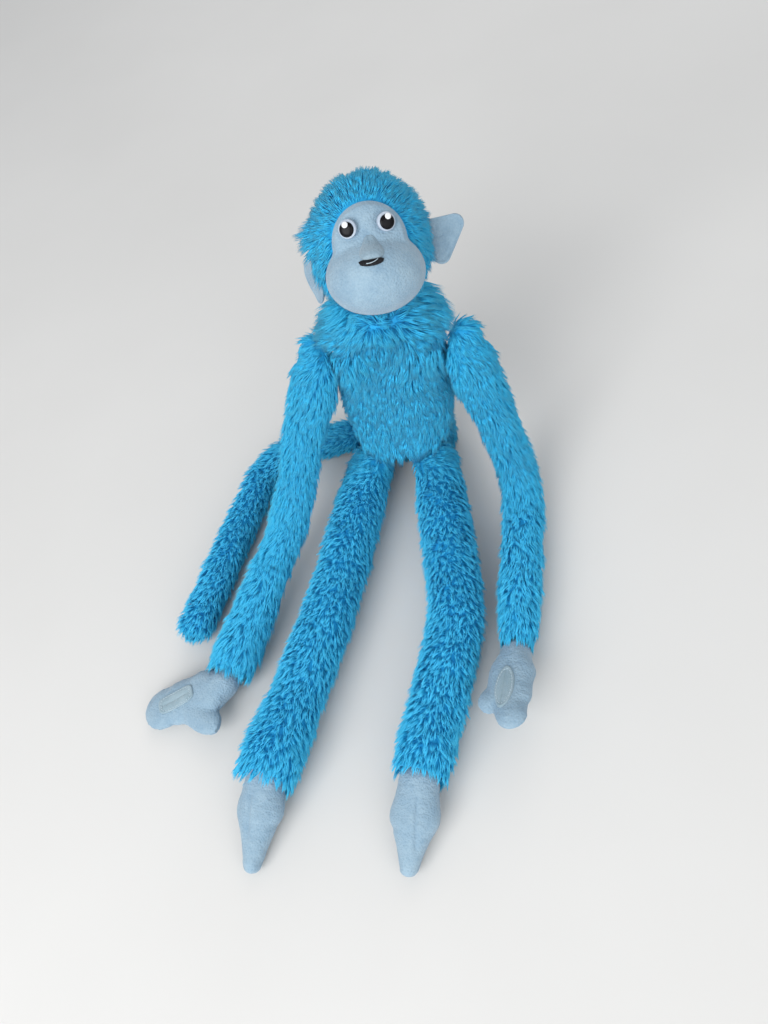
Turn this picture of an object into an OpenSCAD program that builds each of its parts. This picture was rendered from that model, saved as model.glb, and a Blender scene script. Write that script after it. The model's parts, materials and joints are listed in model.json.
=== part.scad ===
// Stuffed monkey with long limbs, sitting with its legs out on the floor.
// The monkey faces -Y, its own left is +X, and the floor is z = 0. Sizes are in millimetres.
// The origin is the middle of the flat seat under the torso.

/* [Head] */
// Width of the furry head
head_w = 52; // [43:1:63]
// Height of the furry head
head_h = 58; // [48:1:70]
// How far the face looks up, in degrees
head_tilt_back = 42; // [30:1:46]
// Lean of the head towards the left ear, in degrees
head_tilt_side = 6; // [0:1:10]
// Turn of the head about its own height, in degrees
head_turn = 13; // [0:1:16]
// Width of the muzzle
muzzle_w = 40; // [33:1:48]
// Height of the muzzle
muzzle_h = 30; // [25:1:36]
// Radius of the brow part of the face panel
brow_r = 14.5; // [12.5:0.5:17.5]
// Radius of the neck, which is round so that the head can nod
neck_r = 13; // [10.5:0.5:16]
// Height of an ear
ear_h = 19; // [15:1:24]
// How far an ear stands out from the head
ear_reach = 13; // [10:1:17]
// Thickness of an ear
ear_t = 3; // [2:0.5:4]
// How far the right ear is bent back along the head, in degrees
right_ear_bend = 65; // [0:5:70]

/* [Eyes, nose and mouth] */
// Diameter of the white of an eye
eye_d = 8; // [6.5:0.5:10]
// Distance between the eyes
eye_spacing = 14.5; // [12:0.5:18]
// Thickness of the white of an eye
eye_t = 1; // [0.6:0.1:1.5]
// Diameter of a pupil
pupil_d = 6.2; // [5:0.2:7.4]
// Thickness of a pupil
pupil_t = 0.8; // [0.4:0.1:1.2]
// Diameter of the highlight on a pupil
highlight_d = 1.5; // [1:0.1:2]
// Diameter of an eye's stem
stem_d = 2.4; // [2:0.2:4]
// Length of an eye's stem behind the face
stem_len = 7; // [5:0.5:9]
// Diameter of the lock washer on a stem
washer_d = 8; // [6:0.5:10]
// Thickness of the lock washer
washer_t = 1; // [0.6:0.1:1.5]
// Width of the nose
nose_w = 9; // [7:0.5:11]
// Length of the embroidered mouth
mouth_w = 10; // [8:0.5:12]
// Height of the embroidered mouth
mouth_h = 2.6; // [2:0.2:4]

/* [Torso] */
// Width of the torso at the belly
torso_w = 55; // [45:1:66]
// Depth of the torso at the belly
torso_d = 42; // [35:1:51]
// Height of the torso, from the floor to the neck seam
torso_h = 104; // [86:1:125]
// Lean of the torso towards the left, from bottom to top
torso_lean_x = 8; // [0:1:12]
// Lean of the torso backwards, from bottom to top
torso_lean_y = 5; // [0:1:8]

/* [Arms] */
// Radius of an arm
arm_r = 11; // [9:0.5:13.5]
// Length of an upper arm, from shoulder to elbow
upper_arm_len = 84; // [70:1:102]
// Length of a forearm, from elbow to wrist
forearm_len = 84; // [70:1:102]
// Depth of the shoulders below the neck seam
shoulder_drop = 21; // [17:1:26]
// Height of the right elbow
right_elbow_z = 27; // [20:1:40]
// Height of the left elbow
left_elbow_z = 12; // [11:1:30]
// Direction of the right upper arm over the floor, in degrees from +X
right_upper_arm_yaw = 250; // [230:1:265]
// Direction of the left upper arm over the floor, in degrees from +X
left_upper_arm_yaw = 297; // [280:1:310]
// Direction of the right forearm over the floor, in degrees from +X
right_forearm_yaw = 252; // [235:1:270]
// Direction of the left forearm over the floor, in degrees from +X
left_forearm_yaw = 268; // [260:1:290]

/* [Hands] */
// Length of a hand, from the wrist's middle to the finger tips
hand_len = 44; // [36:1:52]
// Width of a hand's palm
hand_w = 24; // [20:1:29]
// Thickness of a hand
hand_t = 9; // [7.5:0.5:11]
// Radius of the hand where it enters the sleeve
wrist_r = 7; // [5.5:0.25:8.5]
// Direction of the right hand over the floor, in degrees from +X
right_hand_yaw = 202; // [190:1:240]
// Direction of the left hand over the floor, in degrees from +X
left_hand_yaw = 262; // [250:1:290]
// Angle at which the left hand rises from the floor, in degrees
left_hand_rise = 18; // [0:1:22]
// Roll of the right hand about its length, in degrees, 0 being palm up
right_hand_roll = 0; // [-30:1:30]
// Roll of the left hand about its length, in degrees, 0 being palm up
left_hand_roll = 15; // [-30:1:30]
// Width of the right hand's fingers
right_fingers_w = 22; // [14:0.5:24]
// Width of the left hand's fingers, which are folded a little
left_fingers_w = 15; // [12:0.5:20]
// Distance from the right wrist to the middle of the thumb's round end
right_thumb_reach = 19; // [15:0.5:24]
// Distance from the left wrist to the middle of the thumb's round end
left_thumb_reach = 27; // [20:0.5:28]
// Angle between the right thumb and the hand's length
right_thumb_spread = 43; // [20:1:50]
// Angle between the left thumb and the hand's length
left_thumb_spread = 14; // [8:1:20]
// Distance from the right wrist to the middle of its tape patch
right_patch_at = 25; // [22:0.5:28]
// Distance from the left wrist to the middle of its tape patch
left_patch_at = 25; // [22:0.5:28]
// Length of the tape patch on a palm
patch_len = 18; // [14:1:22]
// Width of the tape patch on a palm
patch_w = 7; // [5:0.5:9]
// Thickness of the tape patch
patch_t = 1; // [0.6:0.1:1.5]

/* [Legs] */
// Radius of a leg
leg_r = 13.5; // [11:0.5:16.5]
// Length of a thigh, from hip to knee
thigh_len = 87; // [72:1:105]
// Length of a shin, from knee to ankle
shin_len = 75; // [62:1:90]
// Distance between the hips
hip_spacing = 34; // [28:1:41]
// Direction of the right thigh over the floor, in degrees from +X
right_thigh_yaw = 262; // [250:1:268]
// Space between the left knee and the left forearm beside it
left_knee_gap = 1.4; // [1:0.05:8]
// Direction of the right shin over the floor, in degrees from +X
right_shin_yaw = 256; // [245:1:270]
// Direction of the left shin over the floor, in degrees from +X
left_shin_yaw = 260; // [250:1:285]

/* [Feet] */
// Length of a foot, from the ankle's middle to the toe
foot_len = 38; // [31:1:46]
// Width of a foot
foot_w = 21; // [17:1:25]
// Radius of the foot where it enters the leg
ankle_r = 8.5; // [7:0.25:10]
// Direction of the right foot over the floor, in degrees from +X
right_foot_yaw = 265; // [250:1:285]
// Direction of the left foot over the floor, in degrees from +X
left_foot_yaw = 264; // [250:1:285]

/* [Tail] */
// Radius of the tail
tail_r = 10; // [8:0.5:12]
// Length of the tail's base, from the torso to the bend
tail_base_len = 42; // [37:1:51]
// Length of the tail's tip, from the bend to the round end
tail_tip_len = 112; // [90:1:120]
// Direction of the tail's base, in degrees from +X
tail_base_yaw = 193; // [185:1:200]
// Space in front of the tail's end, before the right hand
tail_hand_gap = 9; // [4:0.5:9]
// Direction of the tail's tip, in degrees from +X
tail_tip_yaw = 259; // [245:1:270]

/* [Fabric and thread] */
// Thickness of the fur fabric with its pile pressed down
fur_t = 2; // [1.5:0.1:2.4]
// Thickness of the pale short-pile fabric
pale_t = 1.2; // [0.8:0.1:1.6]
// Diameter of the sewing thread
thread_d = 1.2; // [0.8:0.1:1.6]
// Length of the hand-sewn back seam
back_seam_len = 40; // [25:1:50]

/* [Clearances] */
// Gap between two pieces that move against each other
joint_gap = 0.3; // [0.2:0.05:0.5]
// Gap between a cover and its filling
fill_gap = 0.2; // [0.1:0.05:0.4]
// Gap between two pieces that are sewn or pressed together
seat_gap = 0.1; // [0.05:0.05:0.2]

/* [Hidden] */

$fn = 48;
FUR = "deepskyblue";
PALE = "powderblue";
FILL = "whitesmoke";

// Steps round a loft, round a section's outline and in a round hull's child
LOFT_SIDES = 32;
PROFILE_STEPS = 10;
HULL_FN = 20;
FINE_FN = 120;

// How far an elbow, a knee and the tail's bend fold from straight before their tubes meet
elbow_fold = 92;
knee_fold = 85;
tail_fold = 85;
// How far back from a wrist and from an ankle its sleeve ends
wrist_back = 6.5;
ankle_back = 3;

// Directions of the limbs: turn over the floor, and drop below level
function heading(yaw, drop) = [cos(drop) * cos(yaw), cos(drop) * sin(yaw), -sin(drop)];
// The drop that brings a limb down by a height; a limb too short for it hangs nearly straight
steepest = 0.98;
function drop_angle(height, reach) = asin(min(height / reach, steepest));
function along(start, yaw, drop, reach) = start + reach * heading(yaw, drop);

// The torso's middle line starts in front of the seat's middle and leans evenly up to the neck
hips_forward = 8.5;
function torso_mid(z) =
    [torso_lean_x * z / torso_h, -hips_forward + torso_lean_y * z / torso_h, z];

// The chest's outline from the belly up: [height, width, depth], each as a share of the torso's
chest_rows = [
    [0.38, 1, 1], [0.5, 1, 0.97], [0.63, 0.96, 0.92], [0.75, 0.89, 0.85],
    [0.84, 0.81, 0.78], [0.92, 0.7, 0.69], [0.97, 0.6, 0.66], [1, 0.54, 0.64]
];
// The chest is never narrower than the neck that stands on it
collar_r = neck_r + 0.4;

// Below the belly the torso's front is drawn back, which leaves room for the thighs
belly_z = 2 * leg_r + 1.5;
lap_half_depth = 10;
lap_corner = 4;
lap_width_share = 0.9;
hip_share = min(hip_spacing / (torso_w * lap_width_share), 0.95);
hip_y = -lap_half_depth * pow(1 - pow(hip_share, lap_corner), 1 / lap_corner) - 2 * joint_gap - leg_r;

// An outline round the torso's middle: corner is 2 for an ellipse, and more for squarer corners
function squared(x, corner) = sign(x) * pow(abs(x), 2 / corner);
function torso_section(z, half_w, half_d, mid_y, corner = 2) =
    [for (i = [0:LOFT_SIDES - 1])
        let (a = 360 * i / LOFT_SIDES)
            [torso_mid(z)[0] + half_w * squared(cos(a), corner),
             mid_y + half_d * squared(sin(a), corner), z]];

// Joints, in the order of the tree; the neck's ball is centred this far above the torso
neck_rise = 3;
neck_pivot = torso_mid(torso_h) + [0, 0, neck_rise];
head_mid = neck_pivot + [4, 2, head_h / 2 + 0.5];
shoulder_z = torso_h - shoulder_drop;
chest_share = lookup((shoulder_z - arm_r / 4.5) / torso_h, [for (row = chest_rows) [row[0], row[1]]]);
left_upper_drop = drop_angle(shoulder_z - left_elbow_z, upper_arm_len);
right_upper_drop = drop_angle(shoulder_z - right_elbow_z, upper_arm_len);
// Where an arm hangs steeply, its shoulder moves out until the arm passes the flank below it
flank_drop = shoulder_z - torso_h / 2;
function flank_out(side) =
    2 + torso_w / 2 * (1 - chest_share) - side * torso_lean_x * flank_drop / torso_h;
function arm_out(yaw, drop) = flank_drop * abs(cos(yaw)) / tan(drop);
function shoulder_out(side, yaw, drop) =
    torso_w / 2 * chest_share + arm_r + joint_gap + max(0, flank_out(side) - arm_out(yaw, drop));
left_shoulder = torso_mid(shoulder_z)
    + [shoulder_out(1, left_upper_arm_yaw, left_upper_drop), 2, 0];
right_shoulder = torso_mid(shoulder_z)
    - [shoulder_out(-1, right_upper_arm_yaw, right_upper_drop), -2, 0];
left_elbow = along(left_shoulder, left_upper_arm_yaw, left_upper_drop, upper_arm_len);
right_elbow = along(right_shoulder, right_upper_arm_yaw, right_upper_drop, upper_arm_len);
left_fore_drop = drop_angle(left_elbow[2] - arm_r, forearm_len);
right_fore_drop = drop_angle(right_elbow[2] - arm_r, forearm_len);
left_wrist = along(left_elbow, left_forearm_yaw, left_fore_drop, forearm_len);
right_wrist = along(right_elbow, right_forearm_yaw, right_fore_drop, forearm_len);
hand_drop = drop_angle(arm_r - hand_t / 2 - 0.5, hand_len - hand_t / 2);
left_hip = [hip_spacing / 2, hip_y, leg_r];
right_hip = [-hip_spacing / 2, hip_y, leg_r];
// The left leg lies beside the left arm
left_knee_x = min(left_elbow[0], left_wrist[0]) - arm_r - leg_r - left_knee_gap;
left_thigh_yaw = 270 + asin((left_knee_x - hip_spacing / 2) / thigh_len);
left_knee = along(left_hip, left_thigh_yaw, 0, thigh_len);
right_knee = along(right_hip, right_thigh_yaw, 0, thigh_len);
left_ankle = along(left_knee, left_shin_yaw, 0, shin_len);
right_ankle = along(right_knee, right_shin_yaw, 0, shin_len);
toe_r = 5;
foot_drop = drop_angle(leg_r - toe_r - 0.5, foot_len - toe_r);
tail_root = [-torso_w / 2 * lap_width_share - tail_r - joint_gap, 0, tail_r];
tail_bend = along(tail_root, tail_base_yaw, 0, tail_base_len);
// The tail's tip swings out where the right hand leaves too little room in front of it
tail_room = tail_bend[1] - right_wrist[1] - hand_w / 2 - tail_hand_gap;
tail_tip_turn = min(tail_tip_yaw, 180 + asin(min(tail_room / tail_tip_len, 1)));

// Puts children that are drawn along +Z onto a limb: it starts at a joint and runs along a heading
module on_limb(start, yaw, drop) {
    translate(start) rotate([0, 90 + drop, yaw]) children();
}

// Half of a tube's outline, to be turned about Z: a ball round its own joint, and a tube of a length
module limb_outline(r, tube_len) {
    intersection() {
        union() {
            circle(r);
            square([r, tube_len]);
        }
        translate([0, -r]) square([r, r + tube_len]);
    }
}

// A fur tube, open at its far end, where the next part's ball lies in it
module tube_cover(r, reach, back, next_r) {
    color(FUR) rotate_extrude() difference() {
        limb_outline(r, reach - back);
        limb_outline(r - fur_t, reach);
        translate([0, reach]) circle(next_r + joint_gap);
    }
}

module tube_filling(r, reach, back, next_r) {
    inner_r = r - fur_t - fill_gap;
    color(FILL) rotate_extrude() difference() {
        limb_outline(inner_r, reach - back);
        translate([0, reach]) circle(next_r + joint_gap);
    }
}

// How far back from a joint a tube ends, so that the next tube folds by an angle
function fold_back(r, fold) = r * tan(fold / 2);

module upper_arm_cover(shoulder, yaw, drop) {
    on_limb(shoulder, yaw, drop)
        tube_cover(arm_r, upper_arm_len, fold_back(arm_r, elbow_fold), arm_r);
}

module upper_arm_filling(shoulder, yaw, drop) {
    on_limb(shoulder, yaw, drop)
        tube_filling(arm_r, upper_arm_len, fold_back(arm_r, elbow_fold), arm_r);
}

module forearm_cover(elbow, yaw, drop) {
    on_limb(elbow, yaw, drop) tube_cover(arm_r, forearm_len, wrist_back, wrist_r);
}

module forearm_filling(elbow, yaw, drop) {
    on_limb(elbow, yaw, drop) tube_filling(arm_r, forearm_len, wrist_back, wrist_r);
}

module thigh_cover(hip, yaw) {
    on_limb(hip, yaw, 0) tube_cover(leg_r, thigh_len, fold_back(leg_r, knee_fold), leg_r);
}

module thigh_filling(hip, yaw) {
    on_limb(hip, yaw, 0) tube_filling(leg_r, thigh_len, fold_back(leg_r, knee_fold), leg_r);
}

module shin_cover(knee, yaw) {
    on_limb(knee, yaw, 0) tube_cover(leg_r, shin_len, ankle_back, ankle_r);
}

module shin_filling(knee, yaw) {
    on_limb(knee, yaw, 0) tube_filling(leg_r, shin_len, ankle_back, ankle_r);
}

// A flat round pad: a ball squeezed along X to a thickness
module pad(w, t) {
    scale([t / w, 1, 1]) sphere(d = w, $fn = HULL_FN);
}

// What differs between the hands: the thumb's side along Y, its reach and spread, the fingers' width
right_hand = [1, right_thumb_reach, right_thumb_spread, right_fingers_w];
left_hand = [-1, left_thumb_reach, left_thumb_spread, left_fingers_w];
palm_z = hand_len * 0.55;

// A mitten along +Z, palm towards -X
module mitten(hand, inset) {
    fingers_w = hand[3];
    hull() {
        sphere(wrist_r - inset, $fn = HULL_FN);
        translate([0, 0, palm_z]) pad(hand_w - 2 * inset, hand_t - 2 * inset);
    }
    hull() {
        translate([0, 0, palm_z]) pad(hand_w * 0.8 - 2 * inset, hand_t - 2 * inset);
        translate([0, -hand[0] * 0.45 * (hand_w - fingers_w), hand_len - fingers_w / 2])
            pad(fingers_w - 2 * inset, hand_t * 0.8 - 2 * inset);
    }
    hull() {
        translate([0, 0, palm_z]) pad(hand_w * 0.7 - 2 * inset, hand_t - 2 * inset);
        rotate([-hand[0] * hand[2], 0, 0]) translate([0, 0, hand[1]])
            pad(hand_w * 0.7 - 2 * inset, hand_t * 0.8 - 2 * inset);
    }
}

module on_left_hand() {
    on_limb(left_wrist, left_hand_yaw, -left_hand_rise) rotate(left_hand_roll) children();
}

module on_right_hand() {
    on_limb(right_wrist, right_hand_yaw, hand_drop) rotate(right_hand_roll) children();
}

module hand_cover(hand) {
    color(PALE) difference() {
        mitten(hand, 0);
        mitten(hand, pale_t);
    }
}

module hand_filling(hand) {
    color(FILL) mitten(hand, pale_t + fill_gap);
}

// The tape lies on the plane that touches the wrist's ball and a pad at a distance from it
function touching(z, w, t) =
    let (a = z * z + (t * t - w * w) / 4, b = wrist_r * z, c = pow(wrist_r, 2) - t * t / 4)
        asin((b - sqrt(b * b - a * c)) / a);
function palm_slope(hand) = min(touching(palm_z, hand_w, hand_t),
                                touching(hand_len - hand[3] / 2, hand[3], hand_t * 0.8));
module palm_patch(hand, place) {
    color(PALE) rotate([0, palm_slope(hand), 0])
        translate([-wrist_r - 2 * seat_gap - patch_t / 2, 0, place])
            cube([patch_t, patch_w, patch_len], center = true);
}

// A foot along +Z: a pouch that narrows to the toe
module foot_form(inset) {
    hull() {
        sphere(ankle_r - inset, $fn = HULL_FN);
        translate([0, 0, foot_len * 0.42]) pad(foot_w - 2 * inset, foot_w * 0.72 - 2 * inset);
    }
    hull() {
        translate([0, 0, foot_len * 0.42]) pad(foot_w - 2 * inset, foot_w * 0.72 - 2 * inset);
        translate([0, 0, foot_len - toe_r]) sphere(toe_r - inset, $fn = HULL_FN);
    }
}

module foot_cover(ankle, yaw) {
    color(PALE) on_limb(ankle, yaw, foot_drop) difference() {
        foot_form(0);
        foot_form(pale_t);
    }
}

module foot_filling(ankle, yaw) {
    color(FILL) on_limb(ankle, yaw, foot_drop) foot_form(pale_t + fill_gap);
}

module tail_base_cover() {
    on_limb(tail_root, tail_base_yaw, 0)
        tube_cover(tail_r, tail_base_len, fold_back(tail_r, tail_fold), tail_r);
}

module tail_base_filling() {
    on_limb(tail_root, tail_base_yaw, 0)
        tube_filling(tail_r, tail_base_len, fold_back(tail_r, tail_fold), tail_r);
}

// A capsule along +Z from the bend to the tail's round end
module tail_tip_form(inset) {
    rotate_extrude() {
        limb_outline(tail_r - inset, tail_tip_len - tail_r);
        translate([0, tail_tip_len - tail_r]) intersection() {
            circle(tail_r - inset);
            square(tail_r);
        }
    }
}

module tail_tip_cover() {
    color(FUR) on_limb(tail_bend, tail_tip_turn, 0) difference() {
        tail_tip_form(0);
        tail_tip_form(fur_t);
    }
}

module tail_tip_filling() {
    color(FILL) on_limb(tail_bend, tail_tip_turn, 0) tail_tip_form(fur_t + fill_gap);
}

// A closed solid from a stack of outlines with equal numbers of points
module loft(sections) {
    sides = len(sections[0]);
    top = len(sections) - 1;
    side_faces = [for (k = [0:top - 1], i = [0:sides - 1])
        let (j = (i + 1) % sides)
            [[k * sides + i, (k + 1) * sides + i, (k + 1) * sides + j],
             [k * sides + i, (k + 1) * sides + j, k * sides + j]]];
    polyhedron(
        points = [for (section = sections) each section],
        faces = concat(
            [for (pair = side_faces) each pair],
            [[for (i = [0:sides - 1]) i]],
            [[for (i = [0:sides - 1]) top * sides + sides - 1 - i]]));
}

module torso_form(inset) {
    lap_rows = [[inset, 0.84], [4, lap_width_share], [belly_z - 3, 0.95]];
    lap = [for (row = lap_rows) torso_section(
        row[0], torso_w / 2 * row[1] - inset, lap_half_depth - inset, 0, lap_corner)];
    belly_rows = [[belly_z + inset, 0.97, 0.72, 0.2, 3], [belly_z + 6, 0.99, 0.93, 0.05, 2.4]];
    belly = [for (row = belly_rows) torso_section(
        row[0], torso_w / 2 * row[1] - inset, torso_d / 2 * row[2] - inset,
        torso_mid(row[0])[1] + torso_d / 2 * row[3], row[4])];
    chest = [for (row = chest_rows)
        let (z = max(torso_h * row[0], belly_z + 8) - (row[0] == 1 ? inset : 0))
            torso_section(z, max(torso_w / 2 * row[1], collar_r) - inset,
                max(torso_d / 2 * row[2], collar_r) - inset, torso_mid(z)[1])];
    loft(concat(lap, belly, chest));
}

// The hollow in the torso's top in which the neck turns
module neck_hollow() {
    translate(neck_pivot) sphere(neck_r + joint_gap);
}

module torso_cover() {
    color(FUR) difference() {
        torso_form(0);
        torso_form(fur_t);
        neck_hollow();
    }
}

module torso_filling() {
    color(FILL) difference() {
        torso_form(fur_t + fill_gap);
        neck_hollow();
    }
}

// Thread laid as a ring where the neck stands on the torso
module neck_seam() {
    color(FUR) translate(torso_mid(torso_h) + [0, 0, thread_d / 2 + seat_gap])
        rotate_extrude() translate([neck_r + thread_d / 2 + joint_gap, 0]) circle(d = thread_d);
}

// Thread down the middle of the back
module back_seam() {
    seam_z = torso_h * 0.5;
    color(FUR) difference() {
        translate([torso_mid(seam_z)[0], torso_mid(seam_z)[1] + torso_d / 2, seam_z])
            cylinder(h = back_seam_len, d = 2 * thread_d, center = true);
        torso_form(-seat_gap);
    }
}

// Puts children drawn about the head's middle, face towards -Y, into the tilted head
module in_head() {
    translate(head_mid) rotate([-head_tilt_back, head_tilt_side, head_turn]) children();
}

// The right half of a rounded outline, from its lowest point to its highest
function half_outline(half_w, half_h, fullness) = concat(
    [[0, -half_h]],
    [for (i = [1:2 * PROFILE_STEPS - 1])
        let (a = -90 + 90 * i / PROFILE_STEPS)
            [half_w * pow(cos(a), fullness), half_h * sin(a)]],
    [[0, half_h]]);
function mirrored(points) = [for (i = [len(points) - 2:-1:1]) [-points[i][0], points[i][1]]];

// The furry part of the head: a tall round form, turned about its height
skull_fullness = 0.9;
module skull(inset) {
    rotate_extrude($fn = FINE_FN)
        polygon(half_outline(head_w / 2 - inset, head_h / 2 - inset, skull_fullness));
}

module neck_ball(inset) {
    translate(neck_pivot) sphere(neck_r - inset);
}

// The muzzle stands out of the head's front, low down, and the eyes are just above it
muzzle_mid = [0, 13 - head_w / 2, 15.5 - head_h / 2];
eye_z = muzzle_mid[2] + muzzle_h / 2 + eye_d / 2 - 1;
brow_mid_z = eye_z - 5.5;
module muzzle(inset) {
    translate(muzzle_mid) rotate_extrude($fn = FINE_FN)
        polygon(half_outline(muzzle_w / 2 - inset, muzzle_h / 2 - inset, 1));
}

// The opening of the fur round the face, cut straight through the front half of the head
module face_window(grow) {
    translate([0, muzzle_mid[1] + 4, 0]) rotate([90, 0, 0]) {
        translate([0, brow_mid_z, 0]) cylinder(h = head_w, r = brow_r + grow);
        translate([0, muzzle_mid[2], 0]) linear_extrude(height = head_w)
            polygon(let (half = half_outline(muzzle_w / 2 + grow, muzzle_h / 2 + grow, 1))
                concat(half, mirrored(half)));
    }
}

module head_cover() {
    color(FUR) difference() {
        union() {
            in_head() skull(0);
            neck_ball(0);
        }
        in_head() skull(fur_t);
        neck_ball(fur_t);
        in_head() face_window(seat_gap);
    }
}

module face_panel() {
    color(PALE) in_head() difference() {
        intersection() {
            union() {
                skull(0);
                muzzle(0);
            }
            face_window(0);
        }
        skull(pale_t);
        muzzle(pale_t);
        eye_places() cylinder(h = 2 * stem_len, d = stem_d + 2 * seat_gap, center = true);
    }
}

// An eye's flat back stands this far out on the round face, and its washer is this far behind it
eye_seat = head_w * 0.015;
washer_seat = fur_t + head_w / 65;
eye_turn = asin(eye_spacing / head_w);
function skull_r(z) = head_w / 2 * pow(cos(asin(z / (head_h / 2))), skull_fullness);

// Puts children, drawn on the face's surface with +Z outwards, at each eye, or at one of them
module eye_place(side) {
    rotate([0, 0, side * eye_turn]) translate([0, -skull_r(eye_z), eye_z])
        rotate([90 + 6, 0, 0]) children();
}

module eye_places() {
    for (side = [-1, 1]) eye_place(side) children();
}

module eye(side) {
    color("white") in_head() eye_place(side) {
        translate([0, 0, eye_seat]) cylinder(h = eye_t, d = eye_d);
        translate([0, 0, eye_seat - stem_len]) cylinder(h = stem_len + eye_t / 2, d = stem_d);
    }
}

module pupil(side) {
    color("black") in_head() eye_place(side)
        translate([0, 0, eye_seat + eye_t + seat_gap]) cylinder(h = pupil_t, d = pupil_d);
}

module eye_highlights() {
    color("white") in_head() eye_places()
        translate([0, pupil_d * 0.22, eye_seat + eye_t + pupil_t + 2 * seat_gap])
            cylinder(h = 0.2, d = highlight_d);
}

module eye_washer(side) {
    color("gainsboro") in_head() eye_place(side)
        translate([0, 0, -washer_seat - washer_t]) difference() {
            cylinder(h = washer_t, d = washer_d);
            translate([0, 0, -1]) cylinder(h = washer_t + 2, d = stem_d + 2 * seat_gap);
        }
}

module head_filling() {
    color(FILL) difference() {
        union() {
            in_head() skull(fur_t + fill_gap);
            in_head() intersection() {
                muzzle(pale_t + fill_gap);
                face_window(-pale_t);
            }
            neck_ball(fur_t + fill_gap);
        }
        in_head() eye_places() translate([0, 0, -stem_len])
            cylinder(h = 2 * stem_len, d = washer_d + 2 * fill_gap);
    }
}

// A small stuffed triangle on top of the muzzle
module nose() {
    color(PALE) in_head() difference() {
        translate([0, muzzle_mid[1] - muzzle_w * 0.41, muzzle_mid[2] + muzzle_h * 0.288]) hull() {
            translate([0, 2.5, 4]) sphere(1.6, $fn = HULL_FN);
            for (side = [-1, 1]) translate([side * (nose_w / 2 - 1.8), -0.6, -2])
                sphere(1.8, $fn = HULL_FN);
        }
        muzzle(-seat_gap);
        skull(-seat_gap);
    }
}

// A bar of stitches that follows the muzzle's curve
module mouth_embroidery() {
    mouth_z = 4;
    stitch_t = 0.7;
    band_r = muzzle_w / 2 * cos(asin((mouth_z - mouth_h / 2) / (muzzle_h / 2))) + seat_gap;
    turn = 2 * asin(mouth_w / 2 / band_r);
    color("black") in_head() translate(muzzle_mid) rotate([-5, 0, -90 - turn / 2])
        translate([0, 0, mouth_z - mouth_h / 2])
            rotate_extrude(angle = turn, $fn = FINE_FN) translate([band_r, 0])
                square([stitch_t, mouth_h]);
}

// One ear: a rounded leaf, wide above, that stands out to the side
module ear(side, place, bend) {
    color(PALE) in_head() difference() {
        mirror([side > 0 ? 0 : 1, 0, 0])
            translate([head_w / 2 - 3, place[0], place[1]]) rotate([90, 0, bend])
            linear_extrude(height = ear_t, center = true) hull() {
                translate([0, ear_h * 0.2]) circle(ear_h * 0.26);
                translate([ear_reach + 3 - ear_h * 0.2, ear_h * 0.28]) circle(ear_h * 0.2);
                translate([5, -ear_h * 0.3]) circle(ear_h * 0.2);
            }
        skull(-seat_gap);
    }
}

head_cover();
head_filling();
face_panel();
nose();
mouth_embroidery();
eye(1);  // left_eye
eye(-1);  // right_eye
pupil(1);  // left_pupil
pupil(-1);  // right_pupil
eye_highlights();
eye_washer(1);  // left_eye_washer
eye_washer(-1);  // right_eye_washer
ear(1, [3, -4], 0);  // left_ear
ear(-1, [10, -10], right_ear_bend);  // right_ear
torso_cover();
torso_filling();
neck_seam();
back_seam();
upper_arm_cover(left_shoulder, left_upper_arm_yaw, left_upper_drop);  // left_upper_arm_cover
upper_arm_filling(left_shoulder, left_upper_arm_yaw, left_upper_drop);  // left_upper_arm_filling
forearm_cover(left_elbow, left_forearm_yaw, left_fore_drop);  // left_forearm_cover
forearm_filling(left_elbow, left_forearm_yaw, left_fore_drop);  // left_forearm_filling
upper_arm_cover(right_shoulder, right_upper_arm_yaw, right_upper_drop);  // right_upper_arm_cover
upper_arm_filling(right_shoulder, right_upper_arm_yaw, right_upper_drop);  // right_upper_arm_filling
forearm_cover(right_elbow, right_forearm_yaw, right_fore_drop);  // right_forearm_cover
forearm_filling(right_elbow, right_forearm_yaw, right_fore_drop);  // right_forearm_filling
on_left_hand() hand_cover(left_hand);  // left_hand_cover
on_left_hand() hand_filling(left_hand);  // left_hand_filling
on_left_hand() palm_patch(left_hand, left_patch_at);  // left_palm_patch
on_right_hand() hand_cover(right_hand);  // right_hand_cover
on_right_hand() hand_filling(right_hand);  // right_hand_filling
on_right_hand() palm_patch(right_hand, right_patch_at);  // right_palm_patch
thigh_cover(left_hip, left_thigh_yaw);  // left_thigh_cover
thigh_filling(left_hip, left_thigh_yaw);  // left_thigh_filling
shin_cover(left_knee, left_shin_yaw);  // left_shin_cover
shin_filling(left_knee, left_shin_yaw);  // left_shin_filling
thigh_cover(right_hip, right_thigh_yaw);  // right_thigh_cover
thigh_filling(right_hip, right_thigh_yaw);  // right_thigh_filling
shin_cover(right_knee, right_shin_yaw);  // right_shin_cover
shin_filling(right_knee, right_shin_yaw);  // right_shin_filling
foot_cover(left_ankle, left_foot_yaw);  // left_foot_cover
foot_filling(left_ankle, left_foot_yaw);  // left_foot_filling
foot_cover(right_ankle, right_foot_yaw);  // right_foot_cover
foot_filling(right_ankle, right_foot_yaw);  // right_foot_filling
tail_base_cover();
tail_base_filling();
tail_tip_cover();
tail_tip_filling();
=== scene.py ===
"""Looks of a stuffed monkey in long blue fur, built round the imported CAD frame.

Lengths are in millimetres, as in the CAD source, until the functions that make objects write them
in metres. The monkey faces -Y, its own left is +X, and the floor is z = 0.
"""
import json
import math

import bmesh
import bpy
import numpy as np
from mathutils import Matrix, Vector
from mathutils.bvhtree import BVHTree


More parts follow.
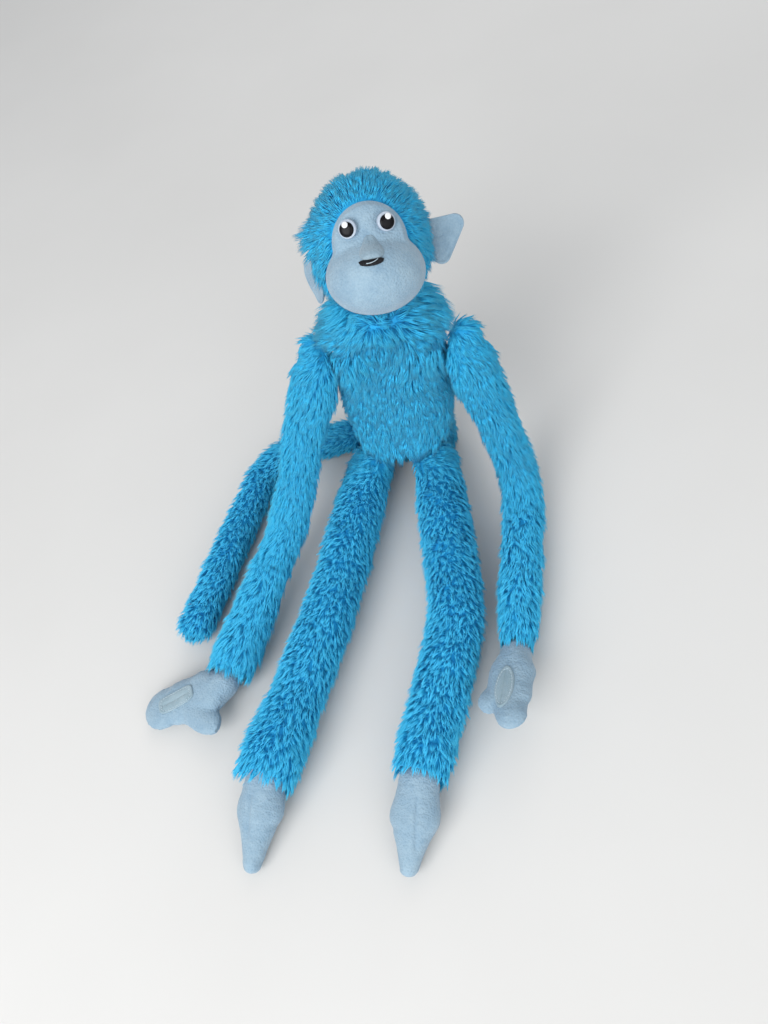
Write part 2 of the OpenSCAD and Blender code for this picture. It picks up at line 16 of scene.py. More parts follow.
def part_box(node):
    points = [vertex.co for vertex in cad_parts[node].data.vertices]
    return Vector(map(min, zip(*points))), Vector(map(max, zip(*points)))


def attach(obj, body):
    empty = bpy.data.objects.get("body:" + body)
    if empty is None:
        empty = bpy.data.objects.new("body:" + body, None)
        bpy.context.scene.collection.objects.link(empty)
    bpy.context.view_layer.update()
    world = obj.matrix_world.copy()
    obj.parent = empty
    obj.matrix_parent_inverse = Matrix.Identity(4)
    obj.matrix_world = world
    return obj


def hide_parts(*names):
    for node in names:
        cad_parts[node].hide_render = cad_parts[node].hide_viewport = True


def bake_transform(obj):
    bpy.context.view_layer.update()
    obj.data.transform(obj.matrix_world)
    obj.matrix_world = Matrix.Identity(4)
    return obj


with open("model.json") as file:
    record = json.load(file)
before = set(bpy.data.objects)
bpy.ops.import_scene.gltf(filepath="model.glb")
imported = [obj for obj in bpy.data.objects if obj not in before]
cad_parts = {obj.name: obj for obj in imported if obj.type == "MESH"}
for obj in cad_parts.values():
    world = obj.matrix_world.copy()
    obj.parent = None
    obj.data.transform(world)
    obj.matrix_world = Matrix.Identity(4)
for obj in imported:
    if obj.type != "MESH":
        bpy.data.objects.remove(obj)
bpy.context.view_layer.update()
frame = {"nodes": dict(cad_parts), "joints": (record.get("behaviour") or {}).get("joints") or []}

MM = 0.001
NODES = frame["nodes"]
PIVOT = {j["name"]: np.array(j["pos_m"]) / MM for j in frame["joints"]}
SIDES = {"left": 1, "right": -1}

# ---------------------------------------------------------------- camera and image points
FRAME_W, FRAME_H = 768, 1024
CAMERA_PLACE = (0.0970, -0.26857, 0.35014)
CAMERA_X = (0.9663, 0.0948, -0.2394)
CAMERA_Y = (0.0481, 0.8469, 0.5296)
CAMERA_LENS, SENSOR = 29.11, 36.0


def new_object(name, data):
    """An object in the scene."""
    made = bpy.data.objects.new(name, data)
    bpy.context.scene.collection.objects.link(made)
    return made


def make_camera():
    data = bpy.data.cameras.new("camera")
    data.sensor_fit, data.sensor_width, data.lens = "AUTO", SENSOR, CAMERA_LENS
    data.clip_start, data.clip_end = 0.01, 20
    made = new_object("camera", data)
    x = Vector(CAMERA_X).normalized()
    z = x.cross(Vector(CAMERA_Y)).normalized()
    y = z.cross(x)
    made.matrix_world = Matrix.Translation(CAMERA_PLACE) @ Matrix((x, y, z)).transposed().to_4x4()
    bpy.context.scene.camera = made
    return made


camera = make_camera()

# Image points in the photograph's frame. Edges are the image's own, with None for the other way; a
# piece's left or right is the monkey's.
POINTS = {
    "edge_left": (143.0, None), "edge_right": (545.0, None), "edge_top": (None, 167.0),
    "edge_bottom": (None, 876.0), "left_pupil": (387.6, 225.8), "right_pupil": (347.8, 230.0),
    "nose": (372.0, 244.5), "mouth_right_end": (359.8, 263.2), "mouth_middle": (371.5, 262.6),
    "mouth_left_end": (383.0, 259.2), "muzzle_right": (328.5, None), "muzzle_left": (428.8, None),
    "muzzle_bottom": (None, 315.5), "brow_top": (None, 201.5), "left_ear": (448.0, 240.0),
    "right_ear": (317.5, 283.0), "right_palm": (180.0, 700.0), "left_palm": (505.5, 690.0),
    "tail_bottom": (None, 645.0), "right_hand_bottom": (None, 736.0),
}


def through(point):
    """The direction of sight of an image point, from the camera, in the row frame."""
    size = max(FRAME_W, FRAME_H)
    data = camera.data
    x = point[0] - FRAME_W / 2 + data.shift_x * size
    y = FRAME_H / 2 - point[1] + data.shift_y * size
    ray = Vector((x, y, -size * data.lens / data.sensor_width))
    return (camera.matrix_world.to_3x3() @ ray).normalized()


def on_surface(point, tree):
    """The place and normal, in millimetres, where an image point meets a surface. A miss takes the
    place nearest the ray."""
    start, ray = Vector(CAMERA_PLACE) / MM, through(point)
    near, far = 250, 520
    place, normal, _, _ = tree.ray_cast(start, ray)
    if place is None:
        places = [tree.find_nearest(start + ray * at)[:2] for at in np.arange(near, far, 0.5)]
        place, normal = min(places, key=lambda found: (found[0] - start).cross(ray).length)
    return np.array(place), np.array(normal)


def in_view(points):
    """Image points of places in millimetres."""
    back = np.array(camera.matrix_world.to_3x3())
    seen = (np.asarray(points) - np.array(CAMERA_PLACE) / MM) @ back
    size = max(FRAME_W, FRAME_H)
    reach = size * camera.data.lens / camera.data.sensor_width
    return np.stack([FRAME_W / 2 - camera.data.shift_x * size - reach * seen[..., 0] / seen[..., 2],
                     FRAME_H / 2 + camera.data.shift_y * size + reach * seen[..., 1] / seen[..., 2]], -1)


# ---------------------------------------------------------------- small vector maths


def unit(v):
    v = np.asarray(v, float)
    return v / np.maximum(np.linalg.norm(v, axis=-1, keepdims=True), 1e-9)


def dot(a, b):
    return (a * b).sum(-1, keepdims=True)


def smooth_step(x, low, high):
    t = np.clip((x - low) / (high - low), 0, 1)
    return t * t * (3 - 2 * t)


def hump(x, at, wide):
    """A smooth bump of height 1."""
    return np.exp(-((x - at) / wide) ** 2)


def angles_round(count):
    return np.linspace(0, 2 * math.pi, count, endpoint=False)


def rounded_square(angle, power):
    """The two ways across of a form between an ellipse (power 1) and a rectangle (power 0)."""
    return [np.sign(f(angle)) * np.abs(f(angle)) ** power for f in (np.cos, np.sin)]


def noise(points, cell, seed, parts=1):
    """Smooth noise from -1 to 1 at points, with features about a cell wide."""
    side, above_zero = 24, 1000
    lattice = np.random.default_rng(seed).uniform(-1, 1, (side, side, side, parts))
    p = np.asarray(points, float) / cell + above_zero
    low = np.floor(p).astype(int)
    f = p - low
    f = f * f * (3 - 2 * f)
    total = 0
    for corner in np.ndindex(2, 2, 2):
        c = np.array(corner)
        weight = np.prod(np.where(c, f, 1 - f), axis=-1, keepdims=True)
        i = (low + c) % side
        total = total + weight * lattice[i[:, 0], i[:, 1], i[:, 2]]
    return total


def turn(axis, degrees):
    return np.array(Matrix.Rotation(math.radians(degrees), 3, axis))


# ---------------------------------------------------------------- surfaces on a grid
RING = 72


def ring_grid(centres, across, up, half_a, half_u, corner=2.0):
    """Rings of points round a middle line: [row, point round it, xyz]."""
    power = 2 / np.broadcast_to(np.asarray(corner, float), len(centres))[:, None]
    x, y = rounded_square(angles_round(RING)[None], power)
    x, y = x * np.asarray(half_a)[:, None], y * np.asarray(half_u)[:, None]
    return centres[:, None] + x[..., None] * across[:, None] + y[..., None] * up[:, None]


def grid_normals(grid):
    along = np.gradient(grid, axis=0)
    round_ = np.roll(grid, -1, axis=1) - np.roll(grid, 1, axis=1)
    normals = unit(np.cross(round_, along))
    outward = grid - grid.mean(axis=1, keepdims=True)
    if (normals * outward).sum() < 0:
        normals = -normals
    return normals


def grid_mesh(grid, cap_start=True, cap_end=True):
    """Points, quads and triangles of a grid of rings, closed by a fan at each end that is capped."""
    rows, cols = grid.shape[:2]
    points = grid.reshape(-1, 3)
    i = np.arange(rows - 1)[:, None] * cols
    j = np.arange(cols)[None]
    k = (j + 1) % cols
    quads = np.stack([i + j, i + k, i + cols + k, i + cols + j], -1).reshape(-1, 4)
    fans = np.zeros((0, 3), int)
    for cap, ring in ((cap_start, 0), (cap_end, rows - 1)):
        if cap:
            fan = np.stack([ring * cols + k[0], ring * cols + j[0], np.full(cols, len(points))], -1)
            points = np.vstack([points, grid[ring].mean(0)])
            fans = np.vstack([fans, fan if ring == 0 else fan[:, ::-1]])
    return points, quads, fans


def closed_form(rings):
    """Points and faces of a closed form from its rings."""
    points, quads, fans = grid_mesh(np.array(rings))
    return points, [*quads, *fans]


def sample_grid(grid, spacing, rng):
    """Evenly scattered points on a grid of rings: place, normal, direction along the rows, and row share."""
    normals = grid_normals(grid)
    step = np.linalg.norm(np.diff(grid, axis=0), axis=-1).mean(1)
    length = np.concatenate([[0], np.cumsum(step)])
    found = []
    for row, at in enumerate(np.arange(spacing / 2, length[-1], spacing)):
        i = min(np.searchsorted(length, at) - 1, len(grid) - 2)
        f = (at - length[i]) / max(step[i], 1e-9)
        ring = grid[i] * (1 - f) + grid[i + 1] * f
        arc = np.linalg.norm(np.roll(ring, -1, 0) - ring, axis=-1)
        total = np.concatenate([[0], np.cumsum(arc)])
        count = max(3, round(total[-1] / spacing))
        t = (np.arange(count) + 0.5 * (row % 2) + rng.uniform(-0.35, 0.35, count)) / count % 1 * total[-1]
        j = np.clip(np.searchsorted(total, t, side="right") - 1, 0, len(ring) - 1)
        g = ((t - total[j]) / np.maximum(arc[j], 1e-9))[:, None]
        k = (j + 1) % len(ring)
        f_row = np.clip(f + rng.uniform(-0.35, 0.35, count) * spacing / max(step[i], 1e-9), -3, 3)
        place = ring[j] * (1 - g) + ring[k] * g
        down = unit((grid[i + 1] - grid[i])[j])
        place = place + down * ((f_row - f) * step[i])[:, None]
        normal = unit(normals[i, j] * (1 - g) + normals[i, k] * g)
        found.append(np.hstack([place, normal, down, np.full((count, 1), at / length[-1])]))
    found = np.vstack(found)
    return found[:, :3], found[:, 3:6], found[:, 6:9], found[:, 9]


# ---------------------------------------------------------------- fur
STRAND_STEPS = (0.0, 0.5)  # where along a strand its rings of three points are; its tip is one point


def grow(place, normal, flow, rng, length, lift, width=0.27, strands=8, spread=1.1, clump=0.7,
         curl=0.0, fullness=(1, 0.85), shade=0.5, floor=0.35):
    """Tufts of tapered strands. Each tuft has its strands rooted round a place and drawn together
    at a tip that leans along the flow, lift degrees off the skin. Returns a dict of arrays."""
    count, sunk, steepest = len(place), 0.5, 1.35
    flow = unit(flow - normal * dot(flow, normal))
    side = np.cross(normal, flow)
    length = np.broadcast_to(length, count)[:, None] * rng.uniform(0.8, 1.2, (count, 1))
    lift = np.radians(np.broadcast_to(lift, count)[:, None] + rng.uniform(-9, 9, (count, 1)))
    lean = rng.normal(0, 0.16, (count, 1))
    ahead = unit(flow + side * lean)
    tip = place + length * (np.cos(lift) * ahead + np.sin(lift) * normal)
    shade = np.broadcast_to(shade, count)[:, None] + rng.normal(0, 0.03, (count, 1))

    def each(a):
        return np.repeat(a, strands, axis=0)

    total = count * strands
    angle = rng.uniform(0, 2 * math.pi, (total, 1))
    radius = spread * np.sqrt(rng.uniform(0, 1, (total, 1)))
    offset = radius * (np.cos(angle) * each(side) + np.sin(angle) * each(ahead))
    root = each(place) + offset - each(normal) * sunk
    own_tip = each(tip) + offset * 1.5 + rng.normal(0, 0.35, (total, 3))
    together = clump + rng.uniform(-0.15, 0.15, (total, 1))
    end = own_tip * (1 - together) + each(tip) * together
    end = end + each(ahead) * rng.normal(0, 0.4, (total, 1))
    lift_mid = np.minimum(each(lift) + 0.5, steepest)
    knee = root + 0.5 * each(length) * (np.cos(lift_mid) * each(ahead) + np.sin(lift_mid) * each(normal))
    knee = knee + each(side) * curl * rng.normal(0, 1, (total, 1))
    thick = width * rng.uniform(0.75, 1.25, (total, 1))
    points = []
    for t, full in zip(STRAND_STEPS, fullness):
        middle = root * (1 - t) ** 2 + knee * 2 * t * (1 - t) + end * t * t
        forward = unit((knee - root) * (1 - t) + (end - knee) * t)
        across = unit(np.cross(forward, each(normal)))
        over = np.cross(across, forward)
        for k in range(3):
            a = 2 * math.pi * k / 3 + math.pi / 2
            points.append(middle + full * thick * (across * math.cos(a) + over * 0.7 * math.sin(a)))
    points = np.stack([*points, end], 1)
    points[..., 2] = np.maximum(points[..., 2], floor + 0.5 * rng.uniform(0, 1, (total, 1)))
    per = points.shape[1]
    quads = [[k, (k + 1) % 3, 3 + (k + 1) % 3, 3 + k] for k in range(3)]
    triangles = [[3 + k, 3 + (k + 1) % 3, 6] for k in range(3)]
    first = (np.arange(total) * per)[:, None, None]
    tint = each(shade) + rng.normal(0, 0.045, (total, 1))
    return {
        "points": points.reshape(-1, 3),
        "quads": (np.array(quads)[None] + first).reshape(-1, 4),
        "triangles": (np.array(triangles)[None] + first).reshape(-1, 3),
        "along": np.tile([*np.repeat(STRAND_STEPS, 3), 1.0], total),
        "tint": np.repeat(np.clip(tint, 0.02, 0.98), per, axis=1).reshape(-1),
    }


def skin(grid, cap_start=True, cap_end=True, shade=0.6):
    """The backing under the fur, as the same kind of dict, in the dark colour of a strand's root: painted
    shade between the tufts.
    """
    points, quads, fans = grid_mesh(grid, cap_start, cap_end)
    points[:, 2] = np.maximum(points[:, 2], BACKING_FLOOR)
    # along 0.03 gives the backing the root colour: painted shade under the fur.
    return {"points": points, "quads": quads, "triangles": fans,
            "along": np.full(len(points), 0.03), "tint": np.full(len(points), shade)}


def mesh_object(name, parts, material):
    """One mesh object from dicts of arrays, with the attributes that its material reads and a bake map."""
    points, quads, triangles, start = [], [], [], 0
    for part in parts:
        points.append(part["points"])
        quads.append(part["quads"] + start)
        triangles.append(part["triangles"] + start)
        start += len(part["points"])
    points, quads, triangles = np.vstack(points), np.vstack(quads), np.vstack(triangles)
    along = np.concatenate([p["along"] for p in parts])
    tint = np.concatenate([p["tint"] for p in parts])
    mesh = bpy.data.meshes.new(name)
    corners = np.concatenate([quads.ravel(), triangles.ravel()]).astype(np.int32)
    starts = np.concatenate([np.arange(len(quads)) * 4, len(quads) * 4 + np.arange(len(triangles)) * 3])
    mesh.vertices.add(len(points))
    mesh.vertices.foreach_set("co", (points * MM).astype(np.float32).ravel())
    mesh.loops.add(len(corners))
    mesh.loops.foreach_set("vertex_index", corners)
    mesh.polygons.add(len(starts))
    mesh.polygons.foreach_set("loop_start", starts.astype(np.int32))
    mesh.update(calc_edges=True)
    mesh.validate()
    mesh.polygons.foreach_set("use_smooth", np.ones(len(mesh.polygons), bool))
    for label, values in (("along", along), ("tint", tint)):
        mesh.attributes.new(label, "FLOAT", "POINT").data.foreach_set("value", values.astype(np.float32))
    # The bake map has the tint across and the place along a strand up, with a face's corners kept apart
    uv = mesh.uv_layers.new(name="OFBake")
    index = np.zeros(len(mesh.loops), np.int32)
    mesh.loops.foreach_get("vertex_index", index)
    across = np.arange(len(index)) % 3 * 0.006
    flat = np.stack([tint[index] * 0.97 + across + 0.005, 0.01 + along[index] * 0.98], -1)
    uv.data.foreach_set("uv", flat.astype(np.float32).ravel())
    mesh.materials.append(material)
    return new_object(name, mesh)


# ---------------------------------------------------------------- materials


def new_material(name):
    made = bpy.data.materials.new(name)
    made.use_nodes = True
    return made, made.node_tree, made.node_tree.nodes["Principled BSDF"]


def feed(tree, node, feeds):
    """Sets inputs of a node, each to a value or to another node's output."""
    for key, what in feeds.items():
        if isinstance(what, bpy.types.NodeSocket):
            tree.links.new(what, node.inputs[key])
        else:
            node.inputs[key].default_value = what


def add_node(tree, kind, feeds, **settings):
    made = tree.nodes.new(f"ShaderNode{kind}")
    for key, value in settings.items():
        setattr(made, key, value)
    feed(tree, made, feeds)
    return made


def texture(tree, kind, **values):
    """A texture in the object's own coordinates."""
    place = add_node(tree, "TexCoord", {}).outputs["Object"]
    return add_node(tree, f"Tex{kind}", {"Vector": place, **values})


def ramp(tree, source, *stops):
    """The colour that a ramp with (position, colour) stops gives for an output."""
    made = add_node(tree, "ValToRGB", {0: source})
    elements = made.color_ramp.elements
    while len(elements) < len(stops):
        elements.new(0.5)
    for element, (at, colour) in zip(elements, stops):
        element.position, element.color = at, (*colour, 1)
    return made.outputs[0]


def fur_material():
    """Root to tip from the strand's own length, darker at the root as painted shade between the tufts; dark
    to light from the tint of its tuft, which holds the tuft's own tone and, on the belly front and the crown,
    painted light.
    """
    made, tree, shader = new_material("blue_fur")
    along = add_node(tree, "Attribute", {}, attribute_name="along").outputs["Fac"]
    tint = add_node(tree, "Attribute", {}, attribute_name="tint").outputs["Fac"]
    # Both ramps darken towards the root: painted shade deep between the tufts.
    dark = ramp(tree, along, (0.0, (0.007, 0.22, 0.45)), (0.45, (0.012, 0.34, 0.64)),
                (1.0, (0.030, 0.43, 0.75)))
    light = ramp(tree, along, (0.0, (0.022, 0.43, 0.80)), (0.45, (0.045, 0.60, 0.93)),
                 (1.0, (0.11, 0.70, 0.97)))
    mix = add_node(tree, "Mix", {}, data_type="RGBA")
    feed(tree, mix, {0: tint, 6: dark, 7: light})
    feed(tree, shader, {"Base Color": mix.outputs[2], "Roughness": 0.62, "Specular IOR Level": 0.25,
                        "Sheen Weight": 0.08, "Sheen Roughness": 0.5, "Sheen Tint": (0.55, 0.85, 1.0, 1)})
    return made


def plush_material(name, dark, light, grain=1200.0, depth=0.0005):
    """Short-pile fabric: a mottled colour, a fine pile and a soft nap."""
    made, tree, shader = new_material(name)
    patches = texture(tree, "Noise", Scale=130.0, Detail=4.0, Roughness=0.6).outputs[0]
    pile = texture(tree, "Noise", Scale=grain, Detail=5.0, Roughness=0.7).outputs[0]
    nap = texture(tree, "Voronoi", Scale=grain * 0.9).outputs["Distance"]
    half = add_node(tree, "Math", {0: pile, 1: 0.5}, operation="MULTIPLY").outputs[0]
    mixed = add_node(tree, "Math", {0: patches, 1: 0.55, 2: half}, operation="MULTIPLY_ADD").outputs[0]
    height = add_node(tree, "Math", {0: pile, 1: nap}, operation="ADD").outputs[0]
    bump = add_node(tree, "Bump", {"Strength": 0.55, "Distance": depth, "Height": height}).outputs[0]
    feed(tree, shader, {"Base Color": ramp(tree, mixed, (0.36, dark), (0.66, light)), "Normal": bump,
                        "Roughness": 0.9, "Specular IOR Level": 0.15, "Sheen Weight": 0.3,
                        "Sheen Roughness": 0.45})
    return made


def plastic_material(name, dark, light, roughness, coat, specular=0.3):
    """Moulded plastic: a faint flow in the colour and fine scuffs in the gloss."""
    made, tree, shader = new_material(name)
    flow = texture(tree, "Noise", Scale=260.0, Detail=3.0).outputs[0]
    scuffs = texture(tree, "Noise", Scale=1800.0, Detail=6.0).outputs[0]
    gloss = add_node(tree, "MapRange", {"Value": scuffs, "To Min": roughness, "To Max": roughness + 0.12})
    feed(tree, shader, {"Base Color": ramp(tree, flow, (0.35, dark), (0.65, light)),
                        "Roughness": gloss.outputs[0], "Specular IOR Level": specular, "Coat Weight": coat,
                        "Coat Roughness": 0.06})
    return made


def thread_material(name, dark, light, sheen=0.3):
    """Twisted thread: fine ribs across it, with a silky highlight."""
    made, tree, shader = new_material(name)
    ribs = texture(tree, "Noise", Scale=1400.0, Detail=3.0).outputs[0]
    bump = add_node(tree, "Bump", {"Strength": 0.5, "Distance": 0.0001, "Height": ribs}).outputs[0]
    feed(tree, shader, {"Base Color": ramp(tree, ribs, (0.35, dark), (0.7, light)), "Normal": bump,
                        "Roughness": 0.55, "Specular IOR Level": 0.2, "Sheen Weight": sheen})
    return made


FUR = fur_material()
PALE = plush_material("pale_plush", (0.215, 0.335, 0.445), (0.325, 0.455, 0.55))
NOSE = plush_material("nose_plush", (0.205, 0.305, 0.385), (0.315, 0.42, 0.49))
TAPE = plush_material("tape", (0.22, 0.33, 0.39), (0.36, 0.47, 0.53), grain=2600.0, depth=0.0003)
EYE_WHITE = plastic_material("eye_white", (0.38, 0.45, 0.55), (0.50, 0.57, 0.66), 0.35, 0.1)
HIGHLIGHT = plastic_material("highlight_white", (0.72, 0.74, 0.77), (0.82, 0.84, 0.86), 0.3, 0.2)
BLACK = plastic_material("black_plastic", (0.003, 0.003, 0.004), (0.008, 0.008, 0.010), 0.22, 0.02, 0.12)
WASHER = plastic_material("washer_plastic", (0.50, 0.50, 0.48), (0.62, 0.62, 0.60), 0.4, 0.1)
BLACK_THREAD = thread_material("black_thread", (0.004, 0.004, 0.006), (0.018, 0.018, 0.022), sheen=0.04)
BLUE_THREAD = thread_material("blue_thread", (0.02, 0.25, 0.42), (0.05, 0.40, 0.60))
PALE_THREAD = thread_material("pale_thread", (0.42, 0.54, 0.61), (0.62, 0.71, 0.77))

# ---------------------------------------------------------------- furry limbs and tail


def rounded_path(points, reach, step=1.5):
    """Points along a polyline whose inner corners are rounded, each over its own reach."""
    out = [np.array(points[0], float)]
    for i in range(1, len(points)):
        a, b = np.array(points[i - 1], float), np.array(points[i], float)
        last = i == len(points) - 1
        stop = b if last else b + unit(a - b) * reach[i - 1]
        span = np.linalg.norm(stop - out[-1])
        count = max(1, round(span / step))
        start = out[-1]
        out += [start + (stop - start) * k / count for k in range(1, count + 1)]
        if not last:
            after = b + unit(np.array(points[i + 1], float) - b) * reach[i - 1]
            count = max(4, round(2 * reach[i - 1] / step))
            for k in range(1, count + 1):
                t = k / count
                out.append(stop * (1 - t) ** 2 + b * 2 * t * (1 - t) + after * t * t)
    return np.array(out)


def frames_along(path):
    """Two directions across a path at each of its points, turned as little as possible."""
    tangent = unit(np.gradient(path, axis=0))
    across = np.zeros_like(path)
    start = np.array([0, 0, 1.0]) if abs(tangent[0][2]) < 0.9 else np.array([0, 1.0, 0])
    across[0] = unit(np.cross(tangent[0], start))
    for i in range(1, len(path)):
        v = across[i - 1] - tangent[i] * (across[i - 1] @ tangent[i])
        across[i] = unit(v)
    return tangent, across, np.cross(tangent, across)


def tube(path, radius, lumps=0.35, seed=1, round_start=True, round_end=False):
    """A grid of rings along a path, slightly lumpy as a stuffed tube is, with rounded ends."""
    tangent, across, up = frames_along(path)
    rings = [path, across, up, np.zeros((len(path), 1)) + np.reshape(radius, (-1, 1))]
    cap = np.radians([4, 14, 26, 38, 50, 62, 76])[:, None]
    for wanted, at, out in ((round_start, 0, -1), (round_end, -1, 1)):
        if wanted:
            r = rings[3][at]
            added = [path[at] + out * tangent[at] * (r * np.cos(cap)), np.repeat(across[[at]], len(cap), 0),
                     np.repeat(up[[at]], len(cap), 0), r * np.sin(cap)]
            rings = [np.vstack([new, old] if at == 0 else [old, new[::-1]]) for new, old in zip(added, rings)]
    centres, across, up, radius = rings
    grid = ring_grid(centres, across, up, radius[:, 0], radius[:, 0])
    bulge = noise(grid.reshape(-1, 3), 11, seed).reshape(*grid.shape[:2], 1) * lumps
    return grid + unit(grid - grid.mean(axis=1, keepdims=True)) * bulge


# ---------------------------------------------------------------- hands and feet
# Hand and foot forms are drawn along +Z of their own frame, as in the CAD source
HANDS = {
    "left": dict(joint="left_wrist", yaw=262, drop=-18, roll=15, tape_at=22.5, corner=1.9,
                 longer=-3, heel=(10, 6, 1.8), gather=1.4),
    "right": dict(joint="right_wrist", yaw=202, drop=8.74, roll=0, tape_at=25, corner=4.2,
                  longer=2.5, heel=(8, 6.5, 3.6), gather=0)}
FEET = {
    "left": dict(joint="left_ankle", yaw=264, drop=14.03, roll=0, longer=0),
    "right": dict(joint="right_ankle", yaw=265, drop=14.03, roll=0, longer=3)}
PUFF = 10.0  # the cloth solver sees each form this many times larger
CLOTH_STEPS = 20
PLUSH_FLOOR, BACKING_FLOOR = 0.25, 0.3  # how near the floor a hand or foot, and the fur's backing, may lie


def own_frame(of):
    """(3x3 turn, place) of a hand's or foot's own frame."""
    return turn("Z", of["yaw"]) @ turn("Y", 90 + of["drop"]) @ turn("Z", of["roll"]), PIVOT[of["joint"]]


def outer_wall(node):
    """Points and faces of the outer wall of a CAD cover, in millimetres."""
    bm = bmesh.new()
    bm.from_mesh(NODES[node].data)
    bm.transform(NODES[node].matrix_world)
    bmesh.ops.remove_doubles(bm, verts=bm.verts, dist=1e-6)
    left, widest = set(bm.verts), []
    while left:
        island, edge = [], [left.pop()]
        while edge:
            vertex = edge.pop()
            island.append(vertex)
            for link in vertex.link_edges:
                other = link.other_vert(vertex)
                if other in left:
                    left.remove(other)
                    edge.append(other)
        size = np.ptp(np.array([v.co[:] for v in island]), axis=0).sum()
        widest.append((size, island))
    keep = max(widest, key=lambda pair: pair[0])[1]
    order = {v: i for i, v in enumerate(keep)}
    points = np.array([v.co[:] for v in keep]) / MM
    faces = [[order[v] for v in f.verts] for f in bm.faces if f.verts[0] in order]
    bm.free()
    return points, faces


def baked(piece):
    """Points and faces of an object with its modifiers applied, in its own units."""
    shown = piece.evaluated_get(bpy.context.evaluated_depsgraph_get())
    mesh = shown.to_mesh()
    points = np.zeros(len(mesh.vertices) * 3)
    mesh.vertices.foreach_get("co", points)
    faces = [list(p.vertices) for p in mesh.polygons]
    shown.to_mesh_clear()
    return points.reshape(-1, 3), faces


def scratch_object(points, faces):
    mesh = bpy.data.meshes.new("scratch")
    mesh.from_pydata(np.asarray(points).tolist(), [], faces)
    return new_object("scratch", mesh)


def drop_object(piece):
    mesh = piece.data
    bpy.data.objects.remove(piece)
    bpy.data.meshes.remove(mesh)


def modified(points, faces, *modifiers):
    """Points and faces of a mesh after its modifiers, each a kind with its settings."""
    piece = scratch_object(points, faces)
    for kind, settings in modifiers:
        made = piece.modifiers.new(kind.lower(), kind)
        for key, value in settings.items():
            setattr(made, key, value)
    points, faces = baked(piece)
    drop_object(piece)
    return points, faces


def blown_up(points, faces, cap):
    """A form's points after the cloth solver has blown it up, none of them moved by more than cap."""
    piece = scratch_object(points, faces)
    cloth = piece.modifiers.new("cloth", "CLOTH")
    cloth.settings.quality = 6
    cloth.settings.mass = 0.3
    cloth.settings.tension_stiffness = cloth.settings.compression_stiffness = 15
    cloth.settings.bending_stiffness = 0.5
    cloth.settings.use_pressure = True
    cloth.settings.uniform_pressure_force = 4
    cloth.settings.effector_weights.gravity = 0
    cloth.point_cache.frame_start, cloth.point_cache.frame_end = 1, CLOTH_STEPS
    for step in range(1, CLOTH_STEPS + 1):
        bpy.context.scene.frame_set(step)
    move = baked(piece)[0] - points
    bpy.context.scene.frame_set(1)
    drop_object(piece)
    return points + move * np.minimum(1, cap / np.maximum(np.linalg.norm(move, axis=1, keepdims=True), 1e-9))


def puffed(node, cap, voxel=0.95, shrink=0.97):
    """A CAD cover's outer wall as padded fabric: remeshed, blown up a little and subdivided once.
    Returns points in millimetres and faces."""
    points, faces = outer_wall(node)
    middle = points.mean(0)
    points, faces = modified((points - middle) * shrink * MM * PUFF, faces,
                             ("REMESH", {"mode": "VOXEL", "voxel_size": voxel * MM * PUFF}),
                             ("SMOOTH", {"factor": 0.5, "iterations": 4}))
    points = blown_up(points, faces, cap * MM * PUFF)
    points, faces = modified(points, faces, ("SUBSURF", {"levels": 1}))
    return points / (MM * PUFF) + middle, faces


def vertex_normals(points, faces):
    """Outward normals at the points of a closed mesh."""
    tri = np.array([f[:3] for f in faces])
    flat = np.cross(points[tri[:, 1]] - points[tri[:, 0]], points[tri[:, 2]] - points[tri[:, 0]])
    total = np.zeros_like(points)
    for face_corner in range(3):
        np.add.at(total, tri[:, face_corner], flat)
    total = unit(total)
    outward = (total * (points - points.mean(0))).sum()
    return total if outward > 0 else -total


def plain_object(name, points, faces, material, smooth=True):
    """A mesh object from points in millimetres and faces of any size."""
    mesh = bpy.data.meshes.new(name)
    mesh.from_pydata((np.asarray(points) * MM).tolist(), [], [list(map(int, f)) for f in faces])
    mesh.validate()
    mesh.polygons.foreach_set("use_smooth", np.full(len(mesh.polygons), smooth))
    mesh.materials.append(material)
    return new_object(name, mesh)


def nearest_tree(points, faces):
    return BVHTree.FromPolygons([Vector(p) for p in points], faces)


def settle(piece, slot, body, *nodes):
    """Hides the CAD nodes that a piece stands for and puts the piece on the body it rides on; its slot is not
    used.
    """
    if nodes:
        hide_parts(*nodes)
    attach(piece, body)


def padded_piece(name, points, faces, material, body, *nodes, fill=0.8):
    piece = plain_object(name, points, faces, material)
    settle(piece, "pale_plush", body, *nodes)


